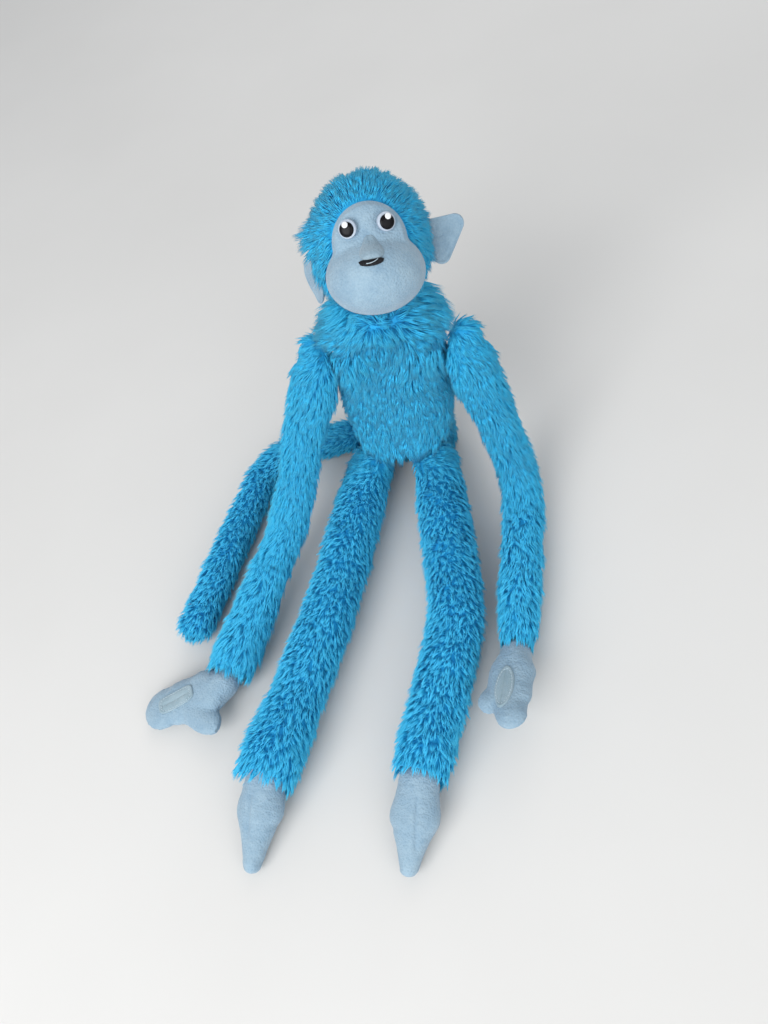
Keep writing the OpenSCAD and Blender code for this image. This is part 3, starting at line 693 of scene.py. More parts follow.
def hand(side):
    """A stuffed mitten with the seam between its palm and its back."""
    of = HANDS[side]
    points, faces = puffed(f"{side}_hand_cover", cap=0.5)
    frame_turn, place = own_frame(of)
    local = (points - place) @ frame_turn
    thumb = np.sign(local[:, 1].max() + local[:, 1].min())
    at, wide, fuller = of["heel"]
    beside = local[:, 1] * thumb
    heel = fuller * hump(local[:, 2], at, wide) * smooth_step(beside, 1, 6)
    edge = 1.8 * hump(local[:, 2], 10, 5) * smooth_step(-beside, 1, 6)
    gathered = of["gather"] * smooth_step(local[:, 2], 14, 26) * smooth_step(beside, 4, 9)
    local[:, 1] += thumb * (heel - edge - gathered)
    local[:, 2] += 0.8 * gathered
    local[:, 2] += of["longer"] * smooth_step(local[:, 2], 18, 44)
    points = local @ frame_turn.T + place
    normals = vertex_normals(points, faces)
    across = normals @ frame_turn
    edge = smooth_step(1 - np.abs(across[:, 0]), 0.35, 0.8) * smooth_step(local[:, 2], 1, 7)
    seam = hump(local[:, 0], 0, 0.55) * edge
    puckers = 0.12 * noise(local * [1, 1, 2.2], 3.2, 71)[:, 0] + 0.16 * noise(local, 7, 72)[:, 0]
    palm_dip = 0.9 * np.exp(-(local[:, 1] / 5) ** 2 - ((local[:, 2] - of["tape_at"]) / 10) ** 2)
    palm_dip = palm_dip * (across[:, 0] < 0)
    points = points + normals * (puckers - 0.55 * seam - palm_dip)[:, None]
    points[:, 2] = np.maximum(points[:, 2], PLUSH_FLOOR)
    padded_piece(f"{side}_hand_plush", points, faces, PALE, f"{side}_hand",
                 f"{side}_hand_cover", f"{side}_hand_filling")
    return points, faces, frame_turn, place


def palm_patch(side, points, faces, frame_turn, place):
    """A strip of tape sewn to the palm: a rounded panel that follows it, with its stitches."""
    tree = nearest_tree(points, faces)
    inward = Vector(frame_turn @ np.array([1.0, 0, 0]))
    half_w, half_l, mid = 4.1, 9.9, HANDS[side]["tape_at"]

    def on_palm(y, z, lift):
        start = Vector(place + frame_turn @ np.array([-14.0, y, z]))
        hit = tree.ray_cast(start, inward)[0] or tree.find_nearest(start)[0]
        return np.array(hit) - np.array(inward) * lift

    rim = np.stack(rounded_square(angles_round(96), 2 / HANDS[side]["corner"]), 1) * [half_w, half_l]
    rows = []
    for share, lift in ((1.0, -0.3), (1.0, 0.25), (0.985, 0.62), (0.94, 0.85), (0.88, 0.84), (0.83, 0.66),
                        (0.79, 0.78), (0.7, 0.95), (0.55, 1.0), (0.4, 1.0), (0.25, 1.0), (0.1, 1.0)):
        groove = 0.4 * (share < 0.8)
        rows.append([on_palm(y * share, mid + z * share, lift - groove * math.exp(-(y * share / 0.5) ** 2))
                     for y, z in rim])
    piece = plain_object(f"{side}_palm_tape", *closed_form(rows), TAPE)
    settle(piece, "tape", f"{side}_hand", f"{side}_palm_patch")
    stitches = []
    arc = np.concatenate([[0], np.cumsum(np.linalg.norm(np.roll(rim, -1, 0) - rim, axis=1))])
    for at in np.arange(0, arc[-1] - 0.8, 1.7):
        ends = [[np.interp((at + d) % arc[-1], arc, np.append(rim[:, k], rim[0, k])) * 0.835 for k in (0, 1)]
                for d in (0, 0.55, 1.1)]
        line = [on_palm(y, mid + z, lift) for (y, z), lift in zip(ends, (0.55, 0.95, 0.55))]
        stitches.append(thread(np.array(line), 0.16))
    settle(joined(f"{side}_palm_stitches", stitches, PALE_THREAD), "blue_thread", f"{side}_hand")


def thread(path, radius, sides=6):
    """A closed round thread along a path, as points and faces."""
    across, up = frames_along(path)[1:]
    a = angles_round(sides)[None, :, None]
    return closed_form(path[:, None] + radius * (np.cos(a) * across[:, None] + np.sin(a) * up[:, None]))


def joined(name, parts, material):
    points, faces, start = [], [], 0
    for part_points, part_faces in parts:
        points.append(part_points)
        faces += [[int(i) + start for i in f] for f in part_faces]
        start += len(part_points)
    return plain_object(name, np.vstack(points), faces, material)


def foot(side):
    """A stuffed pouch with a narrower toe, a crease down its top and a seam round its edge."""
    of = FEET[side]
    points, faces = puffed(f"{side}_foot_cover", cap=0.9)
    frame_turn, place = own_frame(of)
    local = (points - place) @ frame_turn
    along = local[:, 2]
    inner = -SIDES[side]
    narrow = 1 - 0.16 * smooth_step(along, 13, 30) * (1 - smooth_step(along, 32, 40))
    heel = 1 + 0.06 * hump(along, 13, 6)
    local[:, 1] *= narrow * heel
    local[:, 0] *= 1 - 0.06 * smooth_step(along, 17, 24) * (1 - smooth_step(along, 27, 37))
    notch = hump(along, 19.5, 1.6) * smooth_step(local[:, 1] * inner, 3.5, 7)
    local[:, 1] -= inner * 0.5 * notch
    local[:, 2] += of["longer"] * smooth_step(along, 12, 38)
    points = local @ frame_turn.T + place
    normals = vertex_normals(points, faces)
    facing = normals @ frame_turn
    crease = hump(local[:, 1] + inner * 2.4 - 0.05 * (along - 14), 0, 0.8)
    crease = crease * smooth_step(along, 4, 10) * (1 - smooth_step(along, 22, 30)) * (facing[:, 0] < -0.2)
    seam = hump(local[:, 0], 0, 0.5) * smooth_step(1 - np.abs(facing[:, 0]), 0.35, 0.8)
    puckers = 0.12 * noise(local * [1, 1, 2.2], 3.4, 81)[:, 0] + 0.2 * noise(local, 8, 82)[:, 0]
    points = points + normals * (puckers - 0.4 * seam * smooth_step(along, 2, 6) - 0.8 * crease)[:, None]
    points[:, 2] = np.maximum(points[:, 2], PLUSH_FLOOR)
    padded_piece(f"{side}_foot_plush", points, faces, PALE, f"{side}_foot",
                 f"{side}_foot_cover", f"{side}_foot_filling")


for side in SIDES:
    foot(side)
    palm_patch(side, *hand(side))


SKIN_INSET = 3.6  # how far the fur's backing lies inside the CAD surface
LIMBS = {
    "arm": dict(r=11.0, length=6.2, lift=25, spacing=1.8, shade=0.58, clump=0.33, curl=0.25,
                flare=2.2, taper=1.0),
    "leg": dict(r=13.5, length=5.6, lift=38, spacing=2.0, shade=0.56, clump=0.62, curl=0.5, flare=0, taper=0),
    "tail": dict(r=10.0, length=5.4, lift=34, spacing=1.9, shade=0.52, clump=0.6, curl=0.4, flare=0, taper=0),
}


def limb_fur(grid, kind, seed, joint=None, hang=None, cuff=False):
    """The strands on one stretch of a limb. They hang one way round the joint it starts at, and lie
    closer towards a cuff."""
    of = LIMBS[kind]
    rng = np.random.default_rng(seed)
    place, normal, down, share = sample_grid(grid, of["spacing"], rng)
    swirl = noise(place, 9, 40, 3)
    direction = down
    lift = of["lift"] + 9 * noise(place, 7, 60)[:, 0]
    if joint is not None:
        near = 1 - smooth_step(np.linalg.norm(place - joint, axis=1), 8, 24)
        direction = down * (1 - near[:, None]) + hang * near[:, None]
        lift = lift * (1 - 0.75 * near)
    direction = direction + 0.3 * swirl
    shade = of["shade"] + 0.07 * noise(place, 12, 50)[:, 0]
    if cuff:
        lift = lift * (1 - 0.55 * smooth_step(share, 0.75, 0.98))
    return grow(place, normal, direction, rng, of["length"], lift, spread=0.62 * of["spacing"],
                clump=of["clump"], curl=of["curl"], shade=shade)


def part_of(path, start, stop):
    """The stretch of a path from one length along it to another."""
    length = np.concatenate([[0], np.cumsum(np.linalg.norm(np.diff(path, axis=0), axis=1))])
    at = np.linspace(start, stop, max(4, round((stop - start) / 1.5)))
    return np.stack([np.interp(at, length, path[:, k]) for k in range(3)], 1)


def path_length(path):
    return np.linalg.norm(np.diff(path, axis=0), axis=1).sum()


def fur_piece(name, parts, rides, *nodes, across=None, fill=0.7):
    """A furry piece that rides on one body, or, when it spans two, stays where it is made and rides on
    neither.
    """
    piece = mesh_object(name, parts, FUR)
    if len(rides) == 1:
        settle(piece, "blue_fur", rides[0], *nodes)
    else:
        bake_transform(piece)


def limb_piece(name, index, parts, rides, centre, half):
    """The first, middle or last piece of a limb or the tail; the middle one spans the joint."""
    nodes = [] if index == 1 else [f"{rides[0]}_cover", f"{rides[0]}_filling"]
    fur_piece(f"{name}_{'abc'[index]}", parts, rides, *nodes, across=(centre - half, centre + half))


def limb(side, kind, joints, bodies, reach, ends, back, cuff=0.0):
    """Three furry pieces: one that rides on the first body, one that spans the joint, and one
    that rides on the second body and ends as an open sleeve, back from the last joint and wider by
    cuff."""
    first, bend, last = (PIVOT[j] for j in joints)
    flare, thinner = LIMBS[kind]["flare"], LIMBS[kind]["taper"]
    lean = np.array([-SIDES[side] * 0.9, 0, -0.2]) * flare
    hang = np.array([SIDES[side] * 0.75, -0.2, -0.75])
    past = 6.0
    path = rounded_path([first, bend, last + past * unit(last - bend)], [reach])
    total = path_length(path) - past - back
    cut_a, cut_b = ends
    seed = 100 + sum(map(ord, bodies[0]))
    stretches = [(1.8 * thinner, cut_a, bodies[:1]), (cut_a, cut_b, bodies), (cut_b, total, bodies[1:])]
    for index, (start, stop, rides) in enumerate(stretches):
        stretch = part_of(path, start, stop)
        run = np.linspace(start, stop, len(stretch))
        near = smooth_step(run, -4, 12) * (1 - smooth_step(run, 18, 48))
        taper = smooth_step(run, total - 32, total) + 2.0 * (1 - smooth_step(run, 0, 12))
        wider = cuff * smooth_step(run, total - 44, total)
        radius = LIMBS[kind]["r"] - SKIN_INSET + flare * near - thinner * taper + wider
        grid = tube(stretch + lean * near[:, None], radius, seed=seed, round_start=index == 0)
        parts = [limb_fur(grid, kind, seed + index, None if index else first, hang, index == 2)]
        if index == 2:
            grid = np.concatenate([grid, ring_grid(*sleeve_lip(stretch, radius[-1]))])
        parts.append(skin(grid, cap_start=index == 0, cap_end=False))
        centre, half = stretch[len(stretch) // 2], unit(last - first) * 16
        limb_piece(f"{side}_{kind}_fur", index, parts, rides, centre, half)


def sleeve_lip(path, r):
    """The turned-in hem at the end of a sleeve: rings that go back inside it."""
    tangent, across, up = frames_along(path)
    end, direction = path[-1], tangent[-1]
    inward = [(0.6, r - 0.3), (0.3, r - 0.9), (-1.0, r - 1.3), (-4.0, r - 1.6)]
    centres = np.array([end + direction * out for out, _ in inward])
    radii = [radius for _, radius in inward]
    return centres, np.repeat(across[-1:], 4, 0), np.repeat(up[-1:], 4, 0), radii, radii


def names_of(side, *names):
    return [f"{side}_{name}" for name in names]


for side in SIDES:
    arm_cuff, leg_cuff, leg_back = (0, 0, 3) if side == "left" else (2.6, 1.8, -1)
    limb(side, "arm", names_of(side, "shoulder", "elbow", "wrist"), names_of(side, "upper_arm", "forearm"),
         reach=18, ends=(56, 112), back=6.5, cuff=arm_cuff)
    limb(side, "leg", names_of(side, "hip", "knee", "ankle"), names_of(side, "thigh", "shin"),
         reach=18, ends=(60, 114), back=leg_back, cuff=leg_cuff)


def tail_fur():
    """The tail: its base, the bend and the round-ended tip."""
    root, bend = PIVOT["tail_root"], PIVOT["tail_bend"]
    corner = np.array(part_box("tail_tip_cover")[0]) / MM
    half_w, sunk = 10, 3
    end = np.array([corner[0] + half_w, corner[1] + half_w, bend[2]])
    path = rounded_path([root - sunk * unit(bend - root), bend, end], [20])
    cuts = (0, 14, 78, path_length(path))
    bodies = [["tail_base"], ["tail_base", "tail_tip"], ["tail_tip"]]
    for index, rides in enumerate(bodies):
        stretch = part_of(path, cuts[index], cuts[index + 1])
        radius = LIMBS["tail"]["r"] - SKIN_INSET
        grid = tube(stretch, radius, seed=7, round_start=index == 0, round_end=index == 2)
        parts = [limb_fur(grid, "tail", 300 + index), skin(grid, index == 0, index == 2)]
        centre = bend + (stretch[len(stretch) // 2] - bend) * 0.8
        limb_piece("tail_fur", index, parts, rides, centre, unit(stretch[-1] - stretch[0]) * 17)


tail_fur()

# ---------------------------------------------------------------- torso
# Rows of the torso from the seat to the collar: height, middle y, half width, half depth, corner
TORSO_ROWS = np.array([
    (0.6, 0.0, 20.5, 7.6, 3.4), (3.0, 0.0, 21.6, 8.0, 3.4), (12.0, 0.0, 22.5, 8.4, 3.2),
    (22.0, -0.6, 21.4, 9.8, 2.9), (26.5, -4.4, 20.6, 15.2, 2.5), (29.5, -7.8, 20.8, 19.9, 2.2),
    (33.5, -8.1, 22.0, 20.9, 2.0), (39.5, -7.4, 24.2, 19.6, 2.0), (52.0, -6.4, 25.6, 18.4, 2.0),
    (65.5, -5.6, 24.8, 17.0, 2.0), (78.0, -4.9, 23.5, 15.4, 2.0), (87.5, -4.3, 22.8, 14.2, 2.0),
    (92.0, -4.0, 22.6, 13.8, 2.0), (95.5, -3.8, 25.0, 13.8, 2.0), (99.5, -3.6, 25.0, 14.6, 2.0),
    (102.5, -3.5, 22.6, 15.2, 2.0), (105.5, -3.5, 19.4, 15.4, 2.0), (108.5, -3.5, 16.4, 14.6, 2.0),
    (110.3, -3.5, 13.4, 13.0, 2.0), (111.4, -3.5, 10.4, 10.4, 2.0)])
TORSO_TOP = 111.4
TORSO_LEAN = 8.0 / 104


def torso_grid():
    heights = np.concatenate([np.linspace(0.6, 40, 32), np.linspace(41.5, TORSO_TOP, 48)])
    columns = [np.interp(heights, TORSO_ROWS[:, 0], TORSO_ROWS[:, k]) for k in range(1, 5)]
    kernel = np.array([1, 2, 3, 2, 1]) / 9
    middle, half_w, half_d, corner = (
        np.convolve(np.pad(c, 2, "edge"), kernel, "valid") for c in columns)
    centres = np.stack([TORSO_LEAN * heights, middle, heights], 1)
    x = np.repeat([[1.0, 0, 0]], len(heights), 0)
    y = np.repeat([[0, 1.0, 0]], len(heights), 0)
    return ring_grid(centres, x, y, half_w, half_d, corner)[::-1]


def torso_fur():
    rng = np.random.default_rng(11)
    grid = torso_grid()
    grid = grid + unit(grid - grid.mean(1, keepdims=True)) * (
        noise(grid.reshape(-1, 3), 16, 3).reshape(*grid.shape[:2], 1) * 0.5)
    place, normal, down, _ = sample_grid(grid, 1.9, rng)
    keep = place[:, 2] > 2.5
    place, normal, down = place[keep], normal[keep], down[keep]
    height = place[:, 2]
    beside = place[:, 0] - TORSO_LEAN * height
    front = smooth_step(-normal[:, 1], -0.1, 0.5)
    chest = smooth_step(height, 60, 82) * front
    belly = front * smooth_step(height, 24, 32) * (1 - chest)
    shoulder = smooth_step(np.abs(beside), 8, 15) * smooth_step(height, 72, 92)
    swirl = noise(place, 8.5, 20, 3)
    inward = np.stack([-beside * 0.028, 0 * height, 0 * height], 1)
    outward = np.stack([np.sign(beside), 0 * height, 0 * height], 1)
    direction = down + inward * belly[:, None] * smooth_step(-height, -60, -34)[:, None]
    direction = direction + 1.3 * outward * (shoulder * smooth_step(height, 82, 92))[:, None]
    direction = direction + swirl * (0.22 + 1.0 * chest)[:, None]
    # The front of the belly is painted lighter: painted light, as from a lamp in front. The chest is a little
    # darker.
    shade = 0.58 + 0.22 * belly - 0.02 * chest + 0.06 * noise(place, 10, 21)[:, 0]
    lift = 25 + 12 * chest - 8 * shoulder + 9 * noise(place, 6, 22)[:, 0] * (0.4 + chest)
    under = smooth_step(-height, -40, -30) * front
    length = 6.4 + 1.2 * chest + 4.4 * shoulder + 3.0 * under
    strands = [
        grow(place[group], normal[group], direction[group], rng, length[group], lift[group],
             spread=1.2, clump=clump, curl=curl, shade=shade[group])
        for group, clump, curl in ((chest > 0.4, 0.6, 0.5), (chest <= 0.4, 0.3, 0.25))]
    fur_piece("torso_fur", strands + [skin(grid)], ["torso"], "torso_cover", "torso_filling", fill=0.8)


torso_fur()

# ---------------------------------------------------------------- head
HEAD_TURN = turn("Z", 13) @ turn("Y", 6) @ turn("X", -42)
HEAD_MIDDLE = PIVOT["neck_nod"] + np.array([4, 2, 29.5])
HEAD_W, HEAD_H, FULLNESS = 52.0, 58.0, 0.9
BROW_MID, BROW_R = np.array([0.0, -1.0]), 14.5
MUZZLE_MID, MUZZLE_W, MUZZLE_H = np.array([0.0, -13.0, -13.5]), 40.0, 30.0
FACE_MID = np.array([0.0, -6.0])
EYE_SPACING, EYE_Z = 14.5, 4.5
EYE_TURN = math.degrees(math.asin(EYE_SPACING / HEAD_W))
SKULL_AT_EYE = HEAD_W / 2 * math.cos(math.asin(EYE_Z / (HEAD_H / 2))) ** FULLNESS
EYE_X = SKULL_AT_EYE * math.sin(math.radians(EYE_TURN))
NOSE_Z = -4.4


def out_of_head(points):
    """Points in the head's own frame, face towards -Y, to the row frame."""
    return np.asarray(points, float) @ HEAD_TURN.T + HEAD_MIDDLE


def face_radius(angle):
    """How far the face panel's outline is from FACE_MID: a brow circle and a muzzle ellipse."""
    ray = np.stack([np.cos(angle), np.sin(angle)], -1)
    reach = []
    for mid, half in ((BROW_MID, (BROW_R, BROW_R)), (MUZZLE_MID[[0, 2]], (MUZZLE_W / 2, MUZZLE_H / 2))):
        d, o = ray / half, (FACE_MID - mid) / half
        a, b, c = (d * d).sum(-1), (d * o).sum(-1), (o * o).sum() - 1
        reach.append((-b + np.sqrt(b * b - a * c)) / a)
    brow, muzzle = reach
    return np.log(np.exp(brow * 1.2) + np.exp(muzzle * 1.2)) / 1.2


def skull_front(x, z):
    """How far forward the skull reaches at x and z of the head."""
    half = HEAD_W / 2 * np.clip(1 - (z / (HEAD_H / 2)) ** 2, 0, 1) ** (FULLNESS / 2)
    return np.sqrt(np.clip(half ** 2 - x ** 2, 0, None))


def muzzle_front(x, z):
    half2 = (MUZZLE_W / 2) ** 2 * np.clip(1 - ((z - MUZZLE_MID[2]) / (MUZZLE_H / 2)) ** 2, 0, 1) - x ** 2
    return -MUZZLE_MID[1] + np.sqrt(np.clip(half2, 0, None)) - 14 * (half2 < 0)


def face_front(x, z):
    """The face's surface: the skull and the muzzle, rounded into each other."""
    skull, muzzle = skull_front(x, z), muzzle_front(x, z)
    soft = 1.1
    top = np.maximum(skull, muzzle)
    return top + soft * np.log(np.exp((skull - top) / soft) + np.exp((muzzle - top) / soft)) - 0.25


def head_fur():
    rng = np.random.default_rng(12)
    inset, rows = 3.9, 60
    t = np.radians(np.linspace(88, -88, rows))
    radius = (HEAD_W / 2 - inset) * np.cos(t) ** FULLNESS
    centres = np.stack([0 * t, 0 * t, (HEAD_H / 2 - inset) * np.sin(t)], 1)
    x, y = np.repeat([[1.0, 0, 0]], rows, 0), np.repeat([[0, 1.0, 0]], rows, 0)
    grid = ring_grid(centres, x, y, radius, radius)
    place, normal, down, _ = sample_grid(grid, 1.75, rng)
    local = place[:, [0, 2]] - FACE_MID
    angle = np.arctan2(local[:, 1], local[:, 0])
    gap = np.linalg.norm(local, axis=1) - face_radius(angle)
    facing = place[:, 1] < -6
    keep = ~facing | (gap > -0.2)
    place, normal, down, gap, facing = place[keep], normal[keep], down[keep], gap[keep], facing[keep]
    back = np.repeat([[0, 1.0, 0]], len(place), 0)
    from_face = np.stack([place[:, 0], 0 * gap, place[:, 2] - FACE_MID[1]], 1)
    sides = smooth_step(-place[:, 2], -14, 4)[:, None]
    swirl = noise(place, 8, 30, 3)
    tuft = smooth_step(-np.linalg.norm(place - [-24.0, -6.0, 6.0], axis=1), -9, -3)
    direction = back * 0.9 + 0.35 * unit(from_face) + down * (0.25 + 0.55 * sides) + 0.3 * swirl
    top = smooth_step(place[:, 2], 6, 20)
    # The crown is painted lighter: painted light from above.
    shade = 0.52 + 0.2 * top + 0.07 * noise(place, 10, 31)[:, 0]
    lift = 27 + 9 * noise(place, 6, 32)[:, 0] + 16 * tuft
    near = smooth_step(gap, 0, 7)
    low = smooth_step(-place[:, 2], 2, 12) * smooth_step(np.abs(place[:, 0]), 6, 14) * near
    lift = lift + 16 * low
    length = np.where(facing, 4.4 + 2.0 * near, 6.4) + 3.5 * tuft + 4.0 * low - 1.0 * top
    strands = grow(out_of_head(place), normal @ HEAD_TURN.T, direction @ HEAD_TURN.T, rng, length, lift,
                   spread=1.1, clump=0.4, curl=0.3, shade=shade)
    neck_path = PIVOT["neck_nod"] + np.array([[0, 0, -6.0], [0, 0, 0], [0, 0, 6.0]])
    neck = tube(neck_path, 9.4, seed=5, round_start=True, round_end=True)
    parts = [strands, limb_fur(neck, "arm", 77), skin(out_of_head(grid)), skin(neck)]
    fur_piece("head_fur", parts, ["head"], "head_cover", "head_filling", fill=0.9)


head_fur()


def eye_seat(x, z):
    """How far the fabric dips round the eyes."""
    dip = 0
    for side in (-1, 1):
        gap = np.hypot(x - side * EYE_X, z - EYE_Z)
        dip = dip + 0.75 * hump(np.maximum(gap - 3.4, 0), 0, 1.5)
    return dip


def face_panel():
    """The pale face: rings round FACE_MID on the face's surface, turned in at its edge."""
    angle = angles_round(180)
    edge = face_radius(angle)
    shares = np.concatenate([np.linspace(0.015, 0.9, 62), [0.925, 0.95, 0.97, 0.985, 1.0]])
    rings = []
    for share in shares:
        x = FACE_MID[0] + edge * share * np.cos(angle)
        z = FACE_MID[1] + edge * share * np.sin(angle)
        tuck = 1.9 * smooth_step(share, 0.9, 1.0)
        ripple = 0.18 * noise(np.stack([x, 0 * x, z], 1), 6, 91)[:, 0]
        rings.append(np.stack([x, -(face_front(x, z) - tuck - eye_seat(x, z) + ripple), z], 1))
    last = rings[-1]
    for inward, back in ((0.05, 2.0), (0.1, 4.5)):
        shrunk = np.array([0, 0, FACE_MID[1]]) + (last - [0, 0, FACE_MID[1]]) * [1 - inward, 1, 1 - inward]
        rings.append(shrunk + [0, back, 0])
    points, faces = closed_form(rings)
    points = out_of_head(points)
    padded_piece("face_panel_plush", points, faces, PALE, "head", "face_panel", fill=0.9)
    return points, faces


FACE = face_panel()
FACE_TREE = nearest_tree(*FACE)


def lathe(profile, centre, right, up, out, sides=48):
    """A turned form: (radius, height) pairs about an axis, as points and faces."""
    a = angles_round(sides)[:, None]
    return closed_form([centre + out * h + r * (np.cos(a) * right + np.sin(a) * up) for r, h in profile])


def dome(radius, low, side_h, top, steps=12):
    """A profile from a rim up its side and over a low dome."""
    over = [(max(radius * math.cos(a) ** 0.8, 0.02), side_h + (top - side_h) * math.sin(a))
            for a in np.linspace(0, math.pi / 2, steps)]
    return [(radius * 0.97, low), (radius, low + 0.1)] + over


def eyes():
    """White domes with black domes on them, each with a printed dot."""
    white_r, pupil_r, pupil_side, pupil_top = 3.5, 2.8, 1.75, 2.6
    dots = []
    for name, side, (x, y) in (("left", 1, (0.45, 1.95)), ("right", -1, (-0.1, 1.85))):
        eye_turn = HEAD_TURN @ turn("Z", side * EYE_TURN)
        base = HEAD_MIDDLE + eye_turn @ np.array([0, -SKULL_AT_EYE, EYE_Z])
        right, up, out = (eye_turn @ turn("X", 96) @ np.eye(3)[k] for k in range(3))
        at = base + right * 0.1 * side - up * 0.15
        white = lathe(dome(white_r, -0.6, 1.15, 1.75), base, right, up, out)
        pupil = lathe(dome(pupil_r, 1.3, pupil_side, pupil_top), at, right, up, out)
        settle(joined(f"{name}_eye_white", [white], EYE_WHITE), "white_plastic", "head", f"{name}_eye")
        settle(joined(f"{name}_pupil_dome", [pupil], BLACK), "black_plastic", "head", f"{name}_pupil")
        far = math.hypot(x, y) / pupil_r
        height = pupil_side + (pupil_top - pupil_side) * math.sqrt(1 - far ** 2.5)
        lean = unit(out + 0.35 * (right * x + up * y) / pupil_r)
        across = unit(right - lean * (right @ lean))
        dots.append(lathe([(1.2, -0.25), (1.2, 0.05), (0.95, 0.13), (0.5, 0.17), (0.02, 0.18)],
                          at + right * x + up * y + out * height, across, np.cross(lean, across), lean, 28))
    settle(joined("eye_highlight_dots", dots, HIGHLIGHT), "white_plastic", "head", "eye_highlights")


def nose():
    """A small pinched triangle of the face's fabric, low at its edge and fullest at its base."""
    a = angles_round(90)
    rim = 4.3 * (1 + 0.16 * np.cos(3 * a + math.pi / 2))
    x_of, z_of = rim * np.cos(a) * 1.02, rim * np.sin(a) * 1.08
    rings = []
    for share in (1.0, 1.0, 0.97, 0.92, 0.85, 0.76, 0.66, 0.55, 0.43, 0.31, 0.18, 0.06):
        x, z = x_of * share, z_of * share
        low = np.clip(-z / 5, -1, 1)
        height = (2.0 + 1.1 * low) * (1 - share ** 2) ** 0.62
        pinch = 0.35 * hump(x, 0, 0.7) * smooth_step(z, -1, 3)
        y = -(face_front(x, z + NOSE_Z) + height - pinch + (-0.7 if not rings else 0.05))
        rings.append(np.stack([x, y, z + NOSE_Z], 1))
    padded_piece("nose_plush", *closed_form(out_of_head(rings)), NOSE, "head", "nose")


def embroidered_line(points_in_view, tree, count):
    """A smooth line through image points, laid on what carries it: places and outward normals."""
    on = [on_surface(p, tree) for p in points_in_view]
    knots = np.array([p for p, _ in on])
    t = np.linspace(0, 1, len(knots))
    fit = [np.polynomial.Polynomial.fit(t, knots[:, k], min(3, len(knots) - 1)) for k in range(3)]
    line = np.stack([f(np.linspace(0, 1, count)) for f in fit], 1)
    places, normals = [], []
    for p in line:
        hit, normal, _, _ = tree.find_nearest(Vector(p))
        places.append(hit[:])
        normals.append(normal[:])
    places, normals = np.array(places), np.array(normals)
    toward = np.array(CAMERA_PLACE) / MM - places
    normals = normals * np.sign((normals * toward).sum(1, keepdims=True))
    return places, unit(normals)


def mouth():
    """Satin stitches side by side across a curved bar, with a pale line sewn over them."""
    count = 27
    ends = [POINTS[f"mouth_{where}"] for where in ("right_end", "middle", "left_end")]
    places, normals = embroidered_line(ends, FACE_TREE, count)
    along = unit(np.gradient(places, axis=0))
    up = unit(np.cross(normals, along))
    share = np.linspace(-1, 1, count)
    half = 1.0 * (1 - np.abs(share) ** 3.2) ** 0.5 + 0.15
    arch = np.linspace(-1, 1, 9)
    stitches = []
    for i in range(count):
        lift = 0.10 + 0.55 * np.sqrt(1 - arch ** 2 * 0.98) - 0.15 * (np.abs(arch) > 0.95)
        line = places[i] + up[i] * (arch * half[i])[:, None] + normals[i] * lift[:, None]
        line = line + along[i] * (0.05 * np.sin(3 * i + arch * 2))[:, None]
        stitches.append(thread(line, 0.27))
    settle(joined("mouth_stitches", stitches, BLACK_THREAD), "black_thread", "head", "mouth_embroidery")
    curve = []
    for t in np.linspace(0, 1, 14):
        i, f = divmod((0.30 + 0.50 * t) * (count - 1), 1)
        i = int(i)
        place = places[i] * (1 - f) + places[i + 1] * f
        curve.append(place + up[i] * (-0.5 + 1.1 * t ** 2.2) + normals[i] * 0.8)
    settle(joined("mouth_line", [thread(np.array(curve), 0.15)], PALE_THREAD), "blue_thread", "head")


def ear(side, place, bend):
    """A leaf of two layers of plush, seamed round its edge and cupped towards the front."""
    # The CAD ear is the hull of three circles, each a centre and a radius
    circles = [((0, 3.8), 4.94), ((12.2, 5.32), 3.8), ((5, -5.7), 3.8)]
    around = angles_round(400)
    heading = np.stack([np.cos(around), np.sin(around)], 1)
    reach = np.max([np.array(c) @ heading.T + r for c, r in circles], axis=0)
    middle = np.array([5.2, 1.4])
    a = angles_round(90)
    ray = np.stack([np.cos(a), np.sin(a)], 1)
    facing = np.maximum(ray @ heading.T, 1e-6)
    limit = (reach - heading @ middle)[None] / facing
    radius = np.where(ray @ heading.T > 0.02, limit, 1e9).min(1)
    front = [0.06, 0.25, 0.45, 0.62, 0.76, 0.86, 0.90, 0.94, 0.98, 1.0]
    rings = []
    for layer, shares in ((-1, front), (1, front[::-1])):
        for share in shares:
            flat = middle + ray * (radius * share)[:, None]
            cup = 1.3 * (1 - share ** 2) - 0.5 * share ** 6
            seam = 0.45 * math.exp(-((share - 0.88) / 0.035) ** 2)
            thick = layer * (1.25 * (1 - share ** 6) ** 0.5 - seam * (share < 1))
            wave = 0.35 * noise(np.column_stack([flat, np.zeros(len(flat))]), 7, 95)[:, 0]
            rings.append(np.stack([flat[:, 0], cup + thick + wave * (share > 0.1), flat[:, 1]], 1))
    local = np.array(rings) @ turn("Z", bend).T
    local = (local + [HEAD_W / 2 - 3, *place]) * [SIDES[side], 1, 1]
    padded_piece(f"{side}_ear_plush", *closed_form(out_of_head(local)), PALE, "head", f"{side}_ear", fill=0.4)


eyes()
nose()
mouth()
ear("left", (3, -4), 0)
ear("right", (10, -10), 65)

# ---------------------------------------------------------------- finishes of the CAD nodes that show
for node, material in (("neck_seam", BLUE_THREAD), ("back_seam", BLUE_THREAD),
                       ("left_eye_washer", WASHER), ("right_eye_washer", WASHER)):
    for held in NODES[node].material_slots:
        held.material = material


# ---------------------------------------------------------------- floor, light


def floor_material():
    made, tree, shader = new_material("floor")
    grain = texture(tree, "Noise", Scale=6.0, Detail=3.0).outputs[0]
    feed(tree, shader, {"Base Color": ramp(tree, grain, (0.3, (0.70, 0.69, 0.67)), (0.7, (0.73, 0.72, 0.70))),
                        "Roughness": 0.8})
    return made


